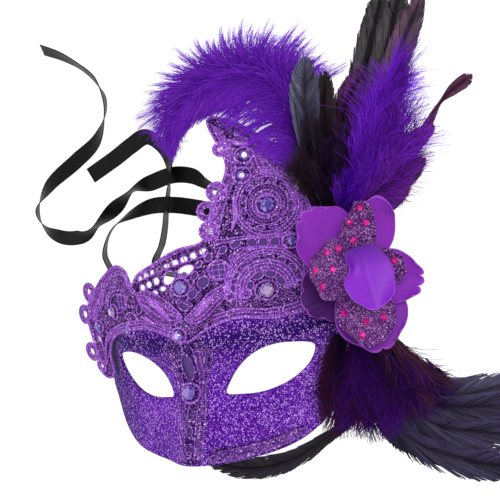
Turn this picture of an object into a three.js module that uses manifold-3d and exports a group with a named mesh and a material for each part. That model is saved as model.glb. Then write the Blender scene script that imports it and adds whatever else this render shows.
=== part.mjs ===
// A lace masquerade half mask lying face up on a table: a moulded base with a swan crest,
// guipure lace over brow, crest, nose and cheek, cut stones, a cloth flower, feathers and two ribbons.
// +X runs to the viewer's right across the face, +Y up the face to the crest, +Z off the table.

import * as THREE from "three";
import { mergeVertices } from "three/addons/utils/BufferGeometryUtils.js";
import Module from "manifold-3d";

const wasm = await Module();
wasm.setup();

// Driving dimensions in millimetres

const HALF_WIDTH = 83;        // temple rim from the middle of the face
const BRIDGE_DEPTH = 48;      // face height over the table at the bridge
const BROW_DEPTH = 53;        // and at the brow
const BROW_Y = 34;
const CREST_LEAN = 0.0006;    // how fast the crest falls back above the brow
// The nose starts at top, grows to rise over the arch at bottom, and is width to width + spread wide
const NOSE = { top: 12, bottom: -40, bridgeRise: 2, rise: 16, width: 13, spread: 6 };
const SOCKET_DEPTH = 6;
const SOCKET = { x: 36, y: 8, halfWidth: 20, halfHeight: 14 };
const WALL = 2;
// Grid lines that the moulded face and the lace share, closer over the nose
const GRID_X = [-108, -96, -84, -72, -60, -48, -36, -24, -16, -8, 0, 8, 16, 24, 36, 48, 60, 72, 84, 96];
const GRID_Y = [-48, -40, -32, -22, -12, 0, 12, 24, 36, 48, 60, 72, 84, 96, 108, 120, 132, 144, 156];

const LACE_GAP = 0.6;         // lace floats this far over the moulded face
const LACE_THICKNESS = 1.2;
const FLARE_X = -60;          // left of here the stiff lace stands away from the temple
const FLARE_SLOPE = 0.55;

const SEAT_GAP = 0.35;        // clearance between pieces that are glued together
const RIBBON = { width: 10, thickness: 0.8 };
const FEATHER_THICKNESS = 1;
const FEATHER_FOLD = 0.12;     // how far a vane's edges fall, against its half width
const QUILL_HALF_WIDTH = 0.8;
const LOCK_THICKNESS = 1.6;
const PETAL_THICKNESS = 1;
const PINK_STONE_RADIUS = 2;

const FAR = 400;              // larger than the object

// Materials

function finish(color, roughness, metalness = 0) {
  return new THREE.MeshStandardMaterial({ color, roughness, metalness });
}

const GLITTER = finish(0x4b1a86, 0.45, 0.3);
const LACE = finish(0x7b2f96, 0.55);
const CRYSTAL = finish(0xb49bf0, 0.08, 0.2);
const PETAL_CLOTH = finish(0x7d2aa8, 0.75);
const GLITTER_CLOTH = finish(0x5c3a6c, 0.6, 0.2);
const LIP_SATIN = finish(0x8a34d8, 0.5);
const VIOLET_FEATHER = finish(0x5412b4, 0.7);
const DARK_FEATHER = finish(0x1c1820, 0.5);
const DOWN = finish(0x3a1440, 0.85);
const BLACK_SATIN = finish(0x0b0b0d, 0.4);

// Solids

function solidFrom(points, triangles) {
  const vertProperties = new Float32Array(points.flatMap((point) => [point.x, point.y, point.z]));
  const mesh = new wasm.Mesh({ numProp: 3, vertProperties, triVerts: new Uint32Array(triangles) });
  return new wasm.Manifold(mesh);
}

function solidOf(geometry) {
  const bare = geometry.clone();
  bare.deleteAttribute("normal");
  bare.deleteAttribute("uv");
  const merged = mergeVertices(bare, 1e-4);
  const position = merged.attributes.position;
  const points = [];
  for (let i = 0; i < position.count; i += 1) {
    points.push(new THREE.Vector3().fromBufferAttribute(position, i));
  }
  return solidFrom(points, merged.index.array);
}

function geometryOf(solid) {
  const mesh = solid.getMesh();
  const geometry = new THREE.BufferGeometry();
  geometry.setAttribute("position", new THREE.BufferAttribute(new Float32Array(mesh.vertProperties), 3));
  geometry.setIndex(new THREE.BufferAttribute(new Uint32Array(mesh.triVerts), 1));
  geometry.computeVertexNormals();
  return geometry;
}

function join(solids) {
  return solids.reduce((whole, next) => whole.add(next));
}

// A thin closed sheet: pointAt(u, v) is its middle surface, low and high its offsets along normalAt(u, v).
function sheetSolid(pointAt, columns, rows, low, high, normalAt = (u, v) => sheetNormal(pointAt, u, v)) {
  const stride = columns + 1;
  const layer = stride * (rows + 1);
  const points = [];
  for (const offset of [low, high]) {
    for (let row = 0; row <= rows; row += 1) {
      for (let column = 0; column <= columns; column += 1) {
        const u = column / columns;
        const v = row / rows;
        points.push(pointAt(u, v).addScaledVector(normalAt(u, v), offset));
      }
    }
  }
  const triangles = [];
  for (let row = 0; row < rows; row += 1) {
    for (let column = 0; column < columns; column += 1) {
      const a = row * stride + column;
      const b = a + 1;
      const c = b + stride;
      const d = a + stride;
      triangles.push(a, c, b, a, d, c);
      triangles.push(layer + a, layer + b, layer + c, layer + a, layer + c, layer + d);
    }
  }
  const border = [];
  for (let column = 0; column < columns; column += 1) border.push(column);
  for (let row = 0; row < rows; row += 1) border.push(row * stride + columns);
  for (let column = columns; column > 0; column -= 1) border.push(rows * stride + column);
  for (let row = rows; row > 0; row -= 1) border.push(row * stride);
  border.forEach((from, i) => {
    const to = border[(i + 1) % border.length];
    triangles.push(from, to, layer + to, from, layer + to, layer + from);
  });
  return solidFrom(points, triangles);
}

function sheetNormal(pointAt, u, v) {
  const step = 1e-3;
  const across = pointAt(u + step, v).sub(pointAt(u - step, v));
  const along = pointAt(u, v + step).sub(pointAt(u, v - step));
  return across.cross(along).normalize();
}

// An upright prism over a closed outline in the XY plane.
function prism(outline, bottom = -FAR, top = FAR) {
  const shape = new THREE.Shape(outline.map(([x, y]) => new THREE.Vector2(x, y)));
  const body = new THREE.ExtrudeGeometry(shape, { depth: top - bottom, bevelEnabled: false });
  return solidOf(body.translate(0, 0, bottom));
}

function roundOutline(corners, count) {
  const nodes = corners.map(([x, y]) => new THREE.Vector3(x, y, 0));
  const curve = new THREE.CatmullRomCurve3(nodes, true, "centripetal");
  return curve.getPoints(count).slice(0, -1).map((point) => [point.x, point.y]);
}

function ovalOutline(x, y, halfLong, halfShort, turn = 0, sides = 8) {
  const outline = [];
  for (let i = 0; i < sides; i += 1) {
    const angle = (i / sides) * 2 * Math.PI;
    const along = Math.cos(angle) * halfLong;
    const across = Math.sin(angle) * halfShort;
    const px = x + along * Math.cos(turn) - across * Math.sin(turn);
    const py = y + along * Math.sin(turn) + across * Math.cos(turn);
    outline.push([px, py]);
  }
  return outline;
}

// The table takes away whatever a bent feather or a rim would push below it.
const TABLE = prism([[-FAR, -FAR], [FAR, -FAR], [FAR, FAR], [-FAR, FAR]], -FAR, 0);

function curveThrough(stops) {
  return new THREE.CatmullRomCurve3(stops.map((stop) => new THREE.Vector3(...stop)));
}

// The moulded face

function bell(t) {
  return Math.exp(-t * t);
}

function faceHeight(x, y) {
  const { lerp, smoothstep } = THREE.MathUtils;
  const lean = CREST_LEAN * Math.max(0, y - BROW_Y) ** 2;
  const depth = lerp(BRIDGE_DEPTH, BROW_DEPTH, smoothstep(y, 0, BROW_Y)) - lean;
  const arch = depth * (1 - (x / HALF_WIDTH) ** 2);
  const noseHeight = NOSE.bridgeRise + NOSE.rise * smoothstep(-y, -NOSE.top, -NOSE.bottom);
  const noseWidth = NOSE.width + NOSE.spread * smoothstep(-y, 0, -NOSE.bottom);
  const socketAcross = bell((Math.abs(x) - SOCKET.x) / SOCKET.halfWidth);
  const socketAlong = bell((y - SOCKET.y) / SOCKET.halfHeight);
  return arch + noseHeight * bell(x / noseWidth) - SOCKET_DEPTH * socketAcross * socketAlong;
}

function laceHeight(x, y) {
  if (x > FLARE_X) return faceHeight(x, y);
  return faceHeight(FLARE_X, y) - FLARE_SLOPE * (FLARE_X - x);
}

function facePoint(x, y, height = faceHeight) {
  return new THREE.Vector3(x, y, height(x, y));
}

function faceNormal(x, y, height = faceHeight) {
  const step = 0.5;
  const slopeX = (height(x + step, y) - height(x - step, y)) / (2 * step);
  const slopeY = (height(x, y + step) - height(x, y - step)) / (2 * step);
  return new THREE.Vector3(-slopeX, -slopeY, 1).normalize();
}

function lineAt(lines, share) {
  const place = share * (lines.length - 1);
  const before = THREE.MathUtils.clamp(Math.floor(place), 0, lines.length - 2);
  return THREE.MathUtils.lerp(lines[before], lines[before + 1], place - before);
}

function faceSheet({ left, right, bottom, top }, low, high, height = faceHeight) {
  const across = GRID_X.filter((x) => x >= left && x <= right);
  const along = GRID_Y.filter((y) => y >= bottom && y <= top);
  const pointAt = (u, v) => facePoint(lineAt(across, u), lineAt(along, v), height);
  return sheetSolid(pointAt, across.length - 1, along.length - 1, low, high);
}

// Corners of the base's outline seen from the front, from the nose round by the right cheek
const BASE_CORNERS = [
  [0, -39], [20, -41], [40, -39], [56, -33], [69, -21], [79, -4], [88, 15], [88, 60],
  [82, 80], [76, 102], [65, 125], [48, 142], [37, 150], [27, 149], [33, 136], [36, 120],
  [33, 105], [27, 91], [18, 78], [7, 66], [-6, 58], [-20, 56], [-40, 59], [-60, 57],
  [-75, 49], [-88, 36], [-88, 5], [-79, -10], [-71, -26], [-58, -36], [-40, -40], [-20, -41],
];
// One eye's outline, from its inner corner round by the top; the other is its mirror
const EYE_CORNERS = [
  [17, -3], [20, 5], [28, 14], [40, 20], [52, 21.5], [63, 18], [60, 8], [50, 1], [36, -4], [25, -5],
];

function maskBase() {
  const face = faceSheet({ left: -96, right: 96, bottom: -48, top: 156 }, -WALL, 0);
  const eye = roundOutline(EYE_CORNERS, 20);
  const otherEye = eye.map(([x, y]) => [-x, y]).reverse();
  return face
    .intersect(prism(roundOutline(BASE_CORNERS, 52)))
    .subtract(prism(eye))
    .subtract(prism(otherEye))
    .subtract(TABLE);
}

// Lace: motifs laid out on the front view, then wrapped over the face

const BROW_LACE_CORNERS = [
  [27, 151], [38, 149], [56, 133], [66, 113], [70, 92], [70, 72], [69, 56], [67, 41],
  [50, 37], [30, 40], [14, 36], [2, 30], [-10, 34], [-26, 38], [-46, 35], [-62, 30],
  [-70, 20], [-72, 4], [-83, 5], [-85, 26], [-87, 40], [-80, 53], [-66, 66], [-47, 74],
  [-40, 72], [-36, 61], [-27, 69], [-13, 75], [4, 82], [18, 85], [25, 104], [34, 124],
];
const EYELET_SHARE = 0.42;    // an eyelet's radius against its scallop's
// Scallops that stand out from the lace's edge, each pierced by a round eyelet
const SCALLOPS = [
  { x: 22, y: 90, radius: 5.5 }, { x: 22, y: 101, radius: 5.5 }, { x: 28, y: 111, radius: 5.5 },
  { x: 32, y: 134, radius: 4 }, { x: -82, y: 57, radius: 6 }, { x: -90, y: 43, radius: 6 },
  { x: -90, y: 19, radius: 6 }, { x: -83, y: 10, radius: 4.5 },
];
// Rings of gaps round a motif's middle: angles in degrees, counted from +X
const GAP_RINGS = [
  { x: 51, y: 100, ring: 13.5, count: 8, from: 20, to: 340, long: 3.4, short: 1.7 },
  { x: 46, y: 53, ring: 10, count: 4, from: 15, to: 165, long: 3.2, short: 1.7 },
  { x: 46, y: 53, ring: 19, count: 6, from: 15, to: 165, long: 3.8, short: 1.8 },
  { x: 3, y: 61, ring: 8.5, count: 6, from: 20, to: 320, long: 3, short: 2.4 },
  { x: -57, y: 46, ring: 8, count: 5, from: 0, to: 288, long: 3, short: 1.8 },
  { x: 43, y: 129, ring: 6.5, count: 3, from: 290, to: 430, long: 2.4, short: 1.5 },
];
// Open net along the lace's upper edge, a row of holes from one end to the other
const NET_ROWS = [
  { from: [-31, 61], to: [-10, 70.5], count: 4, long: 2.4, short: 2.4 },
  { from: [-4, 73], to: [15, 79.5], count: 4, long: 2.4, short: 2.2 },
  { from: [-22, 57], to: [-12, 60], count: 2, long: 2.6, short: 2.2 },
  { from: [21, 69], to: [31, 84], count: 3, long: 2.6, short: 2 },
  { from: [-79, 28], to: [-80, 43], count: 2, long: 2.4, short: 2 },
];

const GAP_SIDES = 6;

function ringGaps({ x, y, ring, count, from, to, long, short }) {
  const gaps = [];
  for (let i = 0; i < count; i += 1) {
    const angle = THREE.MathUtils.degToRad(from + ((to - from) * i) / (count - 1));
    const middle = [x + ring * Math.cos(angle), y + ring * Math.sin(angle)];
    gaps.push(ovalOutline(...middle, long, short, angle + Math.PI / 2, GAP_SIDES));
  }
  return gaps;
}

function rowGaps({ from, to, count, long, short }) {
  const gaps = [];
  const turn = Math.atan2(to[1] - from[1], to[0] - from[0]);
  for (let i = 0; i < count; i += 1) {
    const share = count > 1 ? i / (count - 1) : 0;
    const x = THREE.MathUtils.lerp(from[0], to[0], share);
    const y = THREE.MathUtils.lerp(from[1], to[1], share);
    gaps.push(ovalOutline(x, y, long, short, turn, GAP_SIDES));
  }
  return gaps;
}

function laceOver(area, outline, gaps) {
  const band = [LACE_GAP, LACE_GAP + LACE_THICKNESS];
  const cloth = faceSheet(area, ...band, laceHeight).intersect(outline);
  return gaps.reduce((left, gap) => left.subtract(prism(gap)), cloth);
}

function browLace() {
  const scallops = SCALLOPS.map(({ x, y, radius }) => prism(ovalOutline(x, y, radius, radius, 0, 10)));
  const outline = join([prism(roundOutline(BROW_LACE_CORNERS, 54)), ...scallops]);
  const eyelets = SCALLOPS.map(({ x, y, radius }) => {
    const hole = radius * EYELET_SHARE;
    return ovalOutline(x, y, hole, hole, 0, GAP_SIDES);
  });
  const gaps = [...GAP_RINGS.flatMap(ringGaps), ...NET_ROWS.flatMap(rowGaps), ...eyelets];
  return laceOver({ left: -108, right: 84, bottom: 0, top: 156 }, outline, gaps);
}

const NOSE_LACE_CORNERS = [
  [-2, 29], [9, 28], [13, 22], [9, 10], [7, 3], [7, -12], [6, -28], [5, -37],
  [-1, -38], [-6, -37], [-7, -28], [-8, -12], [-10, 3], [-11, 10], [-15, 22], [-12, 28],
];
const NOSE_WINDOWS = [
  { x: -1, y: 15, long: 8, short: 3.6, turn: 90 }, { x: 7, y: 19, long: 4.5, short: 1.9, turn: 70 },
  { x: -9, y: 19, long: 4.5, short: 1.9, turn: 110 }, { x: -1, y: -12, long: 3, short: 1.8, turn: 90 },
  { x: -1, y: -21, long: 3, short: 1.8, turn: 90 }, { x: -1, y: -30, long: 3, short: 1.8, turn: 90 },
];

function noseLace() {
  const gaps = NOSE_WINDOWS.map(({ x, y, long, short, turn }) =>
    ovalOutline(x, y, long, short, THREE.MathUtils.degToRad(turn), GAP_SIDES));
  const area = { left: -24, right: 24, bottom: -48, top: 36 };
  return laceOver(area, prism(roundOutline(NOSE_LACE_CORNERS, 20)), gaps);
}

const EDGING_CORNERS = [
  [9, -39.5], [20, -40], [32, -39], [44, -36.5], [53, -32.5], [54, -28], [46, -29.5], [34, -32],
  [22, -33], [10, -32.5],
];
const EDGING_HOLES = [
  { from: [12, -36.2], to: [30, -36], count: 3, long: 1.6, short: 1.7 },
  { from: [36, -34.8], to: [50, -31], count: 2, long: 1.6, short: 1.5 },
];

function cheekEdging() {
  const area = { left: 0, right: 60, bottom: -48, top: -22 };
  return laceOver(area, prism(roundOutline(EDGING_CORNERS, 18)), EDGING_HOLES.flatMap(rowGaps));
}

// Cut stones on the lace: a flat back, a sloping crown and a table

const STONES = [
  { name: "crest_stone_top", x: 43, y: 129, radius: 2.6 },
  { name: "crest_stone_upper", x: 41, y: 118, radius: 2.6 },
  { name: "crest_stone_rosette", x: 51, y: 100, radius: 4 },
  { name: "crest_stone_edge", x: 66, y: 108, radius: 3 },
  { name: "crest_stone_side", x: 60, y: 78, radius: 2.5 },
  { name: "brow_stone_right", x: 46, y: 53, radius: 4 },
  { name: "net_stone", x: 3, y: 61, radius: 3.8 },
  { name: "brow_stone_middle", x: -2, y: 34, radius: 2.9 },
  { name: "bridge_stone", x: -1.5, y: -0.5, radius: 4.2, seat: 1.1 },
  { name: "temple_stone", x: -57, y: 46, radius: 3.2 },
  { name: "temple_stone_lower", x: -41, y: 36.5, radius: 2.4 },
  { name: "temple_stone_outer", x: -76, y: 36, radius: 2.4 },
];
const STONE_SIDES = 8;
const STONE_CROWN = 0.7;      // a stone's height and its table, against its radius
const STONE_TABLE = 0.6;
const STONE_SEAT = 0.55;      // a flat back stands this far over the curved lace

function cutStone(radius) {
  const crown = radius * STONE_CROWN;
  const profile = [[0, 0], [radius, 0], [radius * STONE_TABLE, crown], [0, crown]];
  const lathe = new THREE.LatheGeometry(profile.map(([r, h]) => new THREE.Vector2(r, h)), STONE_SIDES);
  return lathe.rotateX(Math.PI / 2);
}

const UP = new THREE.Vector3(0, 0, 1);

function stoneMesh({ name, x, y, radius, seat = STONE_SEAT }) {
  const normal = faceNormal(x, y, laceHeight);
  const stone = meshOf(name, geometryOf(solidOf(cutStone(radius))), CRYSTAL);
  const lift = LACE_GAP + LACE_THICKNESS + seat;
  stone.position.copy(facePoint(x, y, laceHeight).addScaledVector(normal, lift));
  stone.quaternion.setFromUnitVectors(UP, normal);
  return stone;
}

// Posts: plain round pegs, square to the moulded face, that carry the flower and the feathers

// root is how far up its post a bunch of quills is bound
const FLOWER_FOOT = { x: 78.5, y: 57, radius: 5, length: 19 };
const FAN_FOOT = { x: 77, y: 83, radius: 4, length: 7, root: 2.8 };
const TAIL_FOOT = { x: 79, y: 38, radius: 4, length: 8, root: 3.6 };
const PLUME_FOOT = { x: 74.5, y: 97, radius: 2.4, length: 4.5 };
// A smaller head on top of a post binds the soft barbs
const HEAD = { radius: 3, length: 4.1, root: 3, spread: 1.2 };
const CYLINDER_AXIS = new THREE.Vector3(0, 1, 0);

function onPost({ x, y }, distance) {
  return facePoint(x, y).addScaledVector(faceNormal(x, y), distance);
}

function rod(from, to, fromRadius, toRadius, sides = 10) {
  const run = to.clone().sub(from);
  const body = new THREE.CylinderGeometry(toRadius, fromRadius, run.length(), sides);
  body.translate(0, run.length() / 2, 0);
  body.applyQuaternion(new THREE.Quaternion().setFromUnitVectors(CYLINDER_AXIS, run.normalize()));
  return solidOf(body.translate(from.x, from.y, from.z));
}

function post(foot, start = SEAT_GAP, end = foot.length, radius = foot.radius) {
  return rod(onPost(foot, start), onPost(foot, end), radius, radius);
}

// Feathers: a bare quill that opens into a vane

const FACING = new THREE.Vector3(0.35, 0, 0.94);

function vaneShare(v, bare, fullness) {
  if (v <= bare) return 0;
  const share = (v - bare) / (1 - bare);
  return Math.sqrt(Math.max(0, Math.sin(Math.PI * Math.min(share, 0.999) ** fullness)));
}

function feather(stops, halfWidth, { bare = 0.12, fullness = 1.2, steps = 5 } = {}) {
  const spine = curveThrough(stops);
  const pointAt = (u, v) => {
    const station = THREE.MathUtils.clamp(v, 0, 1);
    const along = spine.getTangent(station);
    const side = FACING.clone().cross(along).normalize().negate();
    const half = Math.max(QUILL_HALF_WIDTH, halfWidth * vaneShare(station, bare, fullness));
    const middle = spine.getPoint(station).addScaledVector(along, (v - station) * spine.getLength());
    const fold = -FEATHER_FOLD * half * Math.abs(2 * u - 1);
    return middle.addScaledVector(side, half * (2 * u - 1)).addScaledVector(FACING, fold);
  };
  const half = FEATHER_THICKNESS / 2;
  return sheetSolid(pointAt, 2, steps, -half, half);
}

// A spread of barbs: one sheet from a line of roots to a line of tips, notched between its locks.
// A fan of barbs is too narrow at its root for its own normals, so it names its thickness's direction.
function barbSheet(rootAt, tipAt, { locks, notch, bow, thickening }) {
  const pointAt = (u, v) => {
    const station = THREE.MathUtils.clamp(v, 0, 1);
    const root = rootAt(station);
    const tip = tipAt(station);
    const middle = root.clone().lerp(tip, 0.5).add(new THREE.Vector3(...bow));
    const betweenLocks = Math.abs(((station * 2 * locks) % 2) - 1);
    return new THREE.QuadraticBezierCurve3(root, middle, tip).getPoint(u * (1 - notch * betweenLocks));
  };
  const half = LOCK_THICKNESS / 2;
  return sheetSolid(pointAt, 3, 2 * locks, -half, half, thickening && (() => thickening));
}

// Soft barbs that spread from a head on top of a post
function barbFan(foot, tips, spread) {
  const head = post(foot, foot.length + SEAT_GAP, foot.length + SEAT_GAP + HEAD.length, HEAD.radius);
  const heart = onPost(foot, foot.length + SEAT_GAP + HEAD.root);
  const edge = curveThrough(tips);
  const tipAt = (share) => edge.getPoint(share);
  const rootAt = (share) => heart.clone().add(tipAt(share).sub(heart).setLength(HEAD.spread));
  return join([head, barbSheet(rootAt, tipAt, spread)]);
}

// fullness: the higher it is, the nearer to its tip a vane is widest
const FAN_FEATHERS = [
  { stops: [[80, 104, 22], [84, 149, 38], [89, 177, 40]], halfWidth: 7.5, fullness: 2.2 },
  { stops: [[84, 108, 18], [89, 140, 27], [96, 168, 31]], halfWidth: 6.5, fullness: 1.8 },
  { stops: [[88, 112, 16], [99, 145, 20], [114, 168, 17]], halfWidth: 7, fullness: 1.6 },
  { stops: [[92, 115, 14], [110, 165, 8], [126, 213, 0.3]], halfWidth: 7.5, fullness: 1.8 },
  { stops: [[96, 115, 13], [120, 165, 7], [137, 216, 0.3]], halfWidth: 7.5, fullness: 1.8 },
  { stops: [[98, 112, 12], [128, 168, 6], [146, 203, 0.3]], halfWidth: 7, fullness: 1.8 },
  { stops: [[112, 103, 12], [142, 130, 14], [153, 144, 13], [170, 155, 10]], halfWidth: 2.8 },
  { stops: [[108, 104, 11], [128, 120, 11], [146, 131, 9]], halfWidth: 6 },
  { stops: [[106, 94, 10], [122, 102, 9], [138, 114, 6]], halfWidth: 6 },
  { stops: [[98, 88, 7], [112, 92, 5.5], [126, 98, 3]], halfWidth: 5.5 },
];

function coqueFan() {
  const root = onPost(FAN_FOOT, FAN_FOOT.root).toArray();
  const vanes = FAN_FEATHERS.map((row) => feather([root, ...row.stops], row.halfWidth, row));
  return join([post(FAN_FOOT), ...vanes]).subtract(TABLE);
}

const HACKLE_TIPS = [
  [115, 142, 27], [126, 156, 27], [136, 168, 26], [142, 176, 24], [144, 166, 22], [140, 157, 22],
  [141, 146, 21], [148, 132, 19], [144, 123, 17], [138, 114, 15], [129, 101, 12], [121, 93, 10],
];

function purpleHackle() {
  const thickening = FACING.clone().negate();
  return barbFan(FAN_FOOT, HACKLE_TIPS, { locks: 11, notch: 0.25, bow: [0, 0, 6], thickening });
}

const TAIL_FEATHERS = [
  { stops: [[100, 18, 9], [110, 2, 9], [128, -18, 7], [178, -12, 0.3]], halfWidth: 9, fullness: 2.2 },
  { stops: [[98, 16, 9], [107, -6, 9.5], [124, -22, 7.5], [186, -25, 0.3]], halfWidth: 10, fullness: 2.4 },
  { stops: [[97, 14, 8.5], [104, -12, 9], [120, -31, 7], [185, -41, 0.3]], halfWidth: 10, fullness: 2.4 },
  {
    stops: [[93, 12, 8], [96, -15, 8], [106, -38, 6], [140, -54, 2], [178, -60, 0.3]],
    halfWidth: 9, fullness: 2,
  },
  { stops: [[91, 8, 7.5], [92, -18, 7], [97, -40, 5], [111, -55, 2]], halfWidth: 4.5 },
];

function coqueTail() {
  const root = onPost(TAIL_FOOT, TAIL_FOOT.root).toArray();
  const vanes = TAIL_FEATHERS.map((row) => feather([root, ...row.stops], row.halfWidth, row));
  return join([post(TAIL_FOOT), ...vanes]).subtract(TABLE);
}

const DOWN_TIPS = [
  [72, 14, 21], [68, -7, 22], [66, -22, 20], [71, -34, 15], [81, -34, 12], [88, -39, 11],
  [98, -34, 12], [112, -28, 12], [128, -20, 11], [141, -12, 10],
];

function tailDown() {
  return barbFan(TAIL_FOOT, DOWN_TIPS, { locks: 10, notch: 0.3, bow: [0, 0, 5], thickening: FACING });
}

const SICKLE_SEAT = 1.8;      // height of the sickle's root beside the tail's post
const SICKLE_STOPS = [
  [91, 16, 4.6], [91, -2, 4.5], [87, -19, 4], [74, -32, 4], [54, -44, 4],
  [36, -54, 4], [18, -59, 4], [1, -60, 4], [-13, -57, 4.5], [-24, -54, 5],
];

function sickleFeather() {
  const root = onPost(TAIL_FOOT, SICKLE_SEAT);
  root.y -= TAIL_FOOT.radius + 2 * SEAT_GAP;
  return feather([root.toArray(), ...SICKLE_STOPS], 6.5, { bare: 0.3, fullness: 1.1, steps: 12 });
}

// The ostrich plume: an arching quill with a spread of barbs on its outer and its inner side

const PLUME_SPINE = [
  [77, 98, 12.8], [76, 112, 17.5], [74, 128, 20], [75, 149, 24], [75, 164, 31], [68, 173, 41],
  [55, 176, 49], [40, 174, 53], [27, 165, 53], [15, 152, 49], [7, 137, 45],
];
const PLUME_OUTER_TIPS = [
  [108, 170, 15], [101, 178, 17], [92, 187, 22], [88, 196, 31], [80, 199, 42], [64, 203, 51],
  [48, 200, 56], [33, 197, 58], [11, 186, 58], [-8, 177, 56], [-13, 157, 52], [-10, 142, 48], [4, 130, 45],
];
const PLUME_INNER_TIPS = [
  [65, 122, 29], [58, 128, 34], [52, 136, 39], [46, 143, 43], [40, 148, 46], [34, 150, 48], [28, 150, 49],
  [22, 148, 50], [16, 143, 49], [10, 137, 47], [4, 130, 45],
];
const PLUME_QUILL = { radius: 1.4, sides: 5, steps: 14 };

// first is the share of the quill that is bare on that side
const PLUME_SIDES = [
  { tips: PLUME_OUTER_TIPS, first: 0.34, spread: { locks: 16, notch: 0.4, bow: [0, 3, 3] } },
  { tips: PLUME_INNER_TIPS, first: 0.14, spread: { locks: 10, notch: 0.3, bow: [0, 4, 4] } },
];

function ostrichPlume() {
  const spine = curveThrough(PLUME_SPINE);
  const section = ovalOutline(0, 0, PLUME_QUILL.radius, PLUME_QUILL.radius, 0, PLUME_QUILL.sides);
  const ring = new THREE.Shape(section.map(([x, y]) => new THREE.Vector2(x, y)));
  const quill = new THREE.ExtrudeGeometry(ring, { steps: PLUME_QUILL.steps, extrudePath: spine });
  const barbs = PLUME_SIDES.map(({ tips, first, spread }) => {
    const edge = curveThrough(tips);
    const rootAt = (share) => spine.getPoint(first + (1 - first) * share);
    return barbSheet(rootAt, (share) => edge.getPoint(share), spread);
  });
  return join([post(PLUME_FOOT), solidOf(quill), ...barbs]);
}

// The flower: petals set round a stem that leans out from the temple

const FLOWER_TILT = THREE.MathUtils.degToRad(38);
const FLOWER_AXIS = new THREE.Vector3(Math.sin(FLOWER_TILT), 0, Math.cos(FLOWER_TILT));
const FLOWER_RIGHT = new THREE.Vector3(Math.cos(FLOWER_TILT), 0, -Math.sin(FLOWER_TILT));
const FLOWER_TOP = new THREE.Vector3(0, 1, 0);
const FLOWER_POST = { radius: 2.2, length: 17.4 };
// The calyx under the petals: its lower and upper height below the heart, and its radii there
const CALYX = { low: 3.5, high: 1.2, lowRadius: 5, highRadius: 6, neckRadius: 4 };
const FLOWER_HEART = onPost(FLOWER_FOOT, FLOWER_FOOT.length);

// angle: where a petal points, degrees from the flower's right; seat: height of its root on the post;
// lift: how far its tip rises above its root; cup: how far its sides rise
const PETALS = [
  { name: "petal_left_lower", angle: 209, length: 36, width: 34, seat: 0.6, lift: -1, cup: 0 },
  { name: "petal_left_upper", angle: 126, length: 45, width: 38, seat: 2.6, lift: 1, cup: 2 },
  { name: "petal_bottom", angle: 279, length: 46, width: 42, seat: 4, lift: 5, cup: 4 },
  { name: "petal_right", angle: 343, length: 34, width: 30, seat: 5.4, lift: 11, cup: 3 },
  { name: "petal_right_upper", angle: 73, length: 42, width: 30, seat: 8, lift: 12, cup: 2 },
  { name: "glitter_petal_top", angle: 92, length: 40, width: 21, seat: 10, lift: 16, cup: 2 },
  { name: "glitter_petal_bottom", angle: 266, length: 40, width: 34, seat: 9.8, lift: 9, cup: 4 },
  { name: "glitter_petal_right", angle: 5, length: 21, width: 22, seat: 11.4, lift: 12, cup: 3 },
  { name: "glitter_petal_left", angle: 165, length: 34, width: 34, seat: 13.4, lift: 11, cup: 3 },
];
// The lip is a petal too: it lies across the flower's heart
const LIP = {
  name: "flower_lip", angle: 275, start: -15, length: 20, width: 30, seat: 17.4, lift: 5, cup: 5,
};
// Stones on the glitter petals, each [along, across]: along from root to tip, across from -1 to 1
const PINK_STONES = {
  glitter_petal_top: [[0.9, 0.1], [0.72, -0.5], [0.66, 0.5], [0.42, -0.2]],
  glitter_petal_left: [[0.88, -0.1], [0.7, 0.55], [0.7, -0.6], [0.5, 0], [0.45, 0.7]],
  glitter_petal_bottom: [[0.85, 0.3], [0.62, -0.6], [0.66, 0], [0.5, 0.7]],
  glitter_petal_right: [[0.8, -0.3]],
};
const PETAL_ROOT = 2.75;
// A petal's width is an arch of a sine from its root to its broad tip, whose corners are rounded off
const PETAL_ARCH = { root: 0.09, tip: 0.84, ease: 0.85, fullness: 0.75 };
const PETAL_TIP_ROUND = 0.16;

function petalShare(v) {
  const { root, tip, ease, fullness } = PETAL_ARCH;
  return Math.sin(Math.PI * (root + (tip - root) * v ** ease)) ** fullness;
}

function petalPoint({ angle, start = PETAL_ROOT, length, width, seat, lift, cup }, u, v) {
  const turn = THREE.MathUtils.degToRad(angle);
  const tipRound = PETAL_TIP_ROUND * v ** 4 * (2 * u - 1) ** 2;
  const reach = start + (length - start) * v * (1 - tipRound);
  const aside = (width / 2) * petalShare(THREE.MathUtils.clamp(v, 0, 1)) * (2 * u - 1);
  const height = seat + lift * v * v + cup * v * (2 * u - 1) ** 2;
  const right = reach * Math.cos(turn) + aside * Math.sin(turn);
  const top = reach * Math.sin(turn) - aside * Math.cos(turn);
  return FLOWER_HEART.clone()
    .addScaledVector(FLOWER_RIGHT, right)
    .addScaledVector(FLOWER_TOP, top)
    .addScaledVector(FLOWER_AXIS, height);
}

function petalSolid(petal) {
  const pointAt = (u, v) => petalPoint(petal, 1 - u, v);
  const half = PETAL_THICKNESS / 2;
  const leaf = sheetSolid(pointAt, 4, 4, -half, half);
  const stones = (PINK_STONES[petal.name] ?? []).map(([along, across]) => {
    const u = (1 - across) / 2;
    const normal = sheetNormal(pointAt, u, along);
    const stone = cutStone(PINK_STONE_RADIUS);
    stone.applyQuaternion(new THREE.Quaternion().setFromUnitVectors(UP, normal));
    const place = pointAt(u, along);
    return solidOf(stone.translate(place.x, place.y, place.z));
  });
  return join([leaf, ...stones]);
}

function alongFlower(height) {
  return FLOWER_HEART.clone().addScaledVector(FLOWER_AXIS, height);
}

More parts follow.
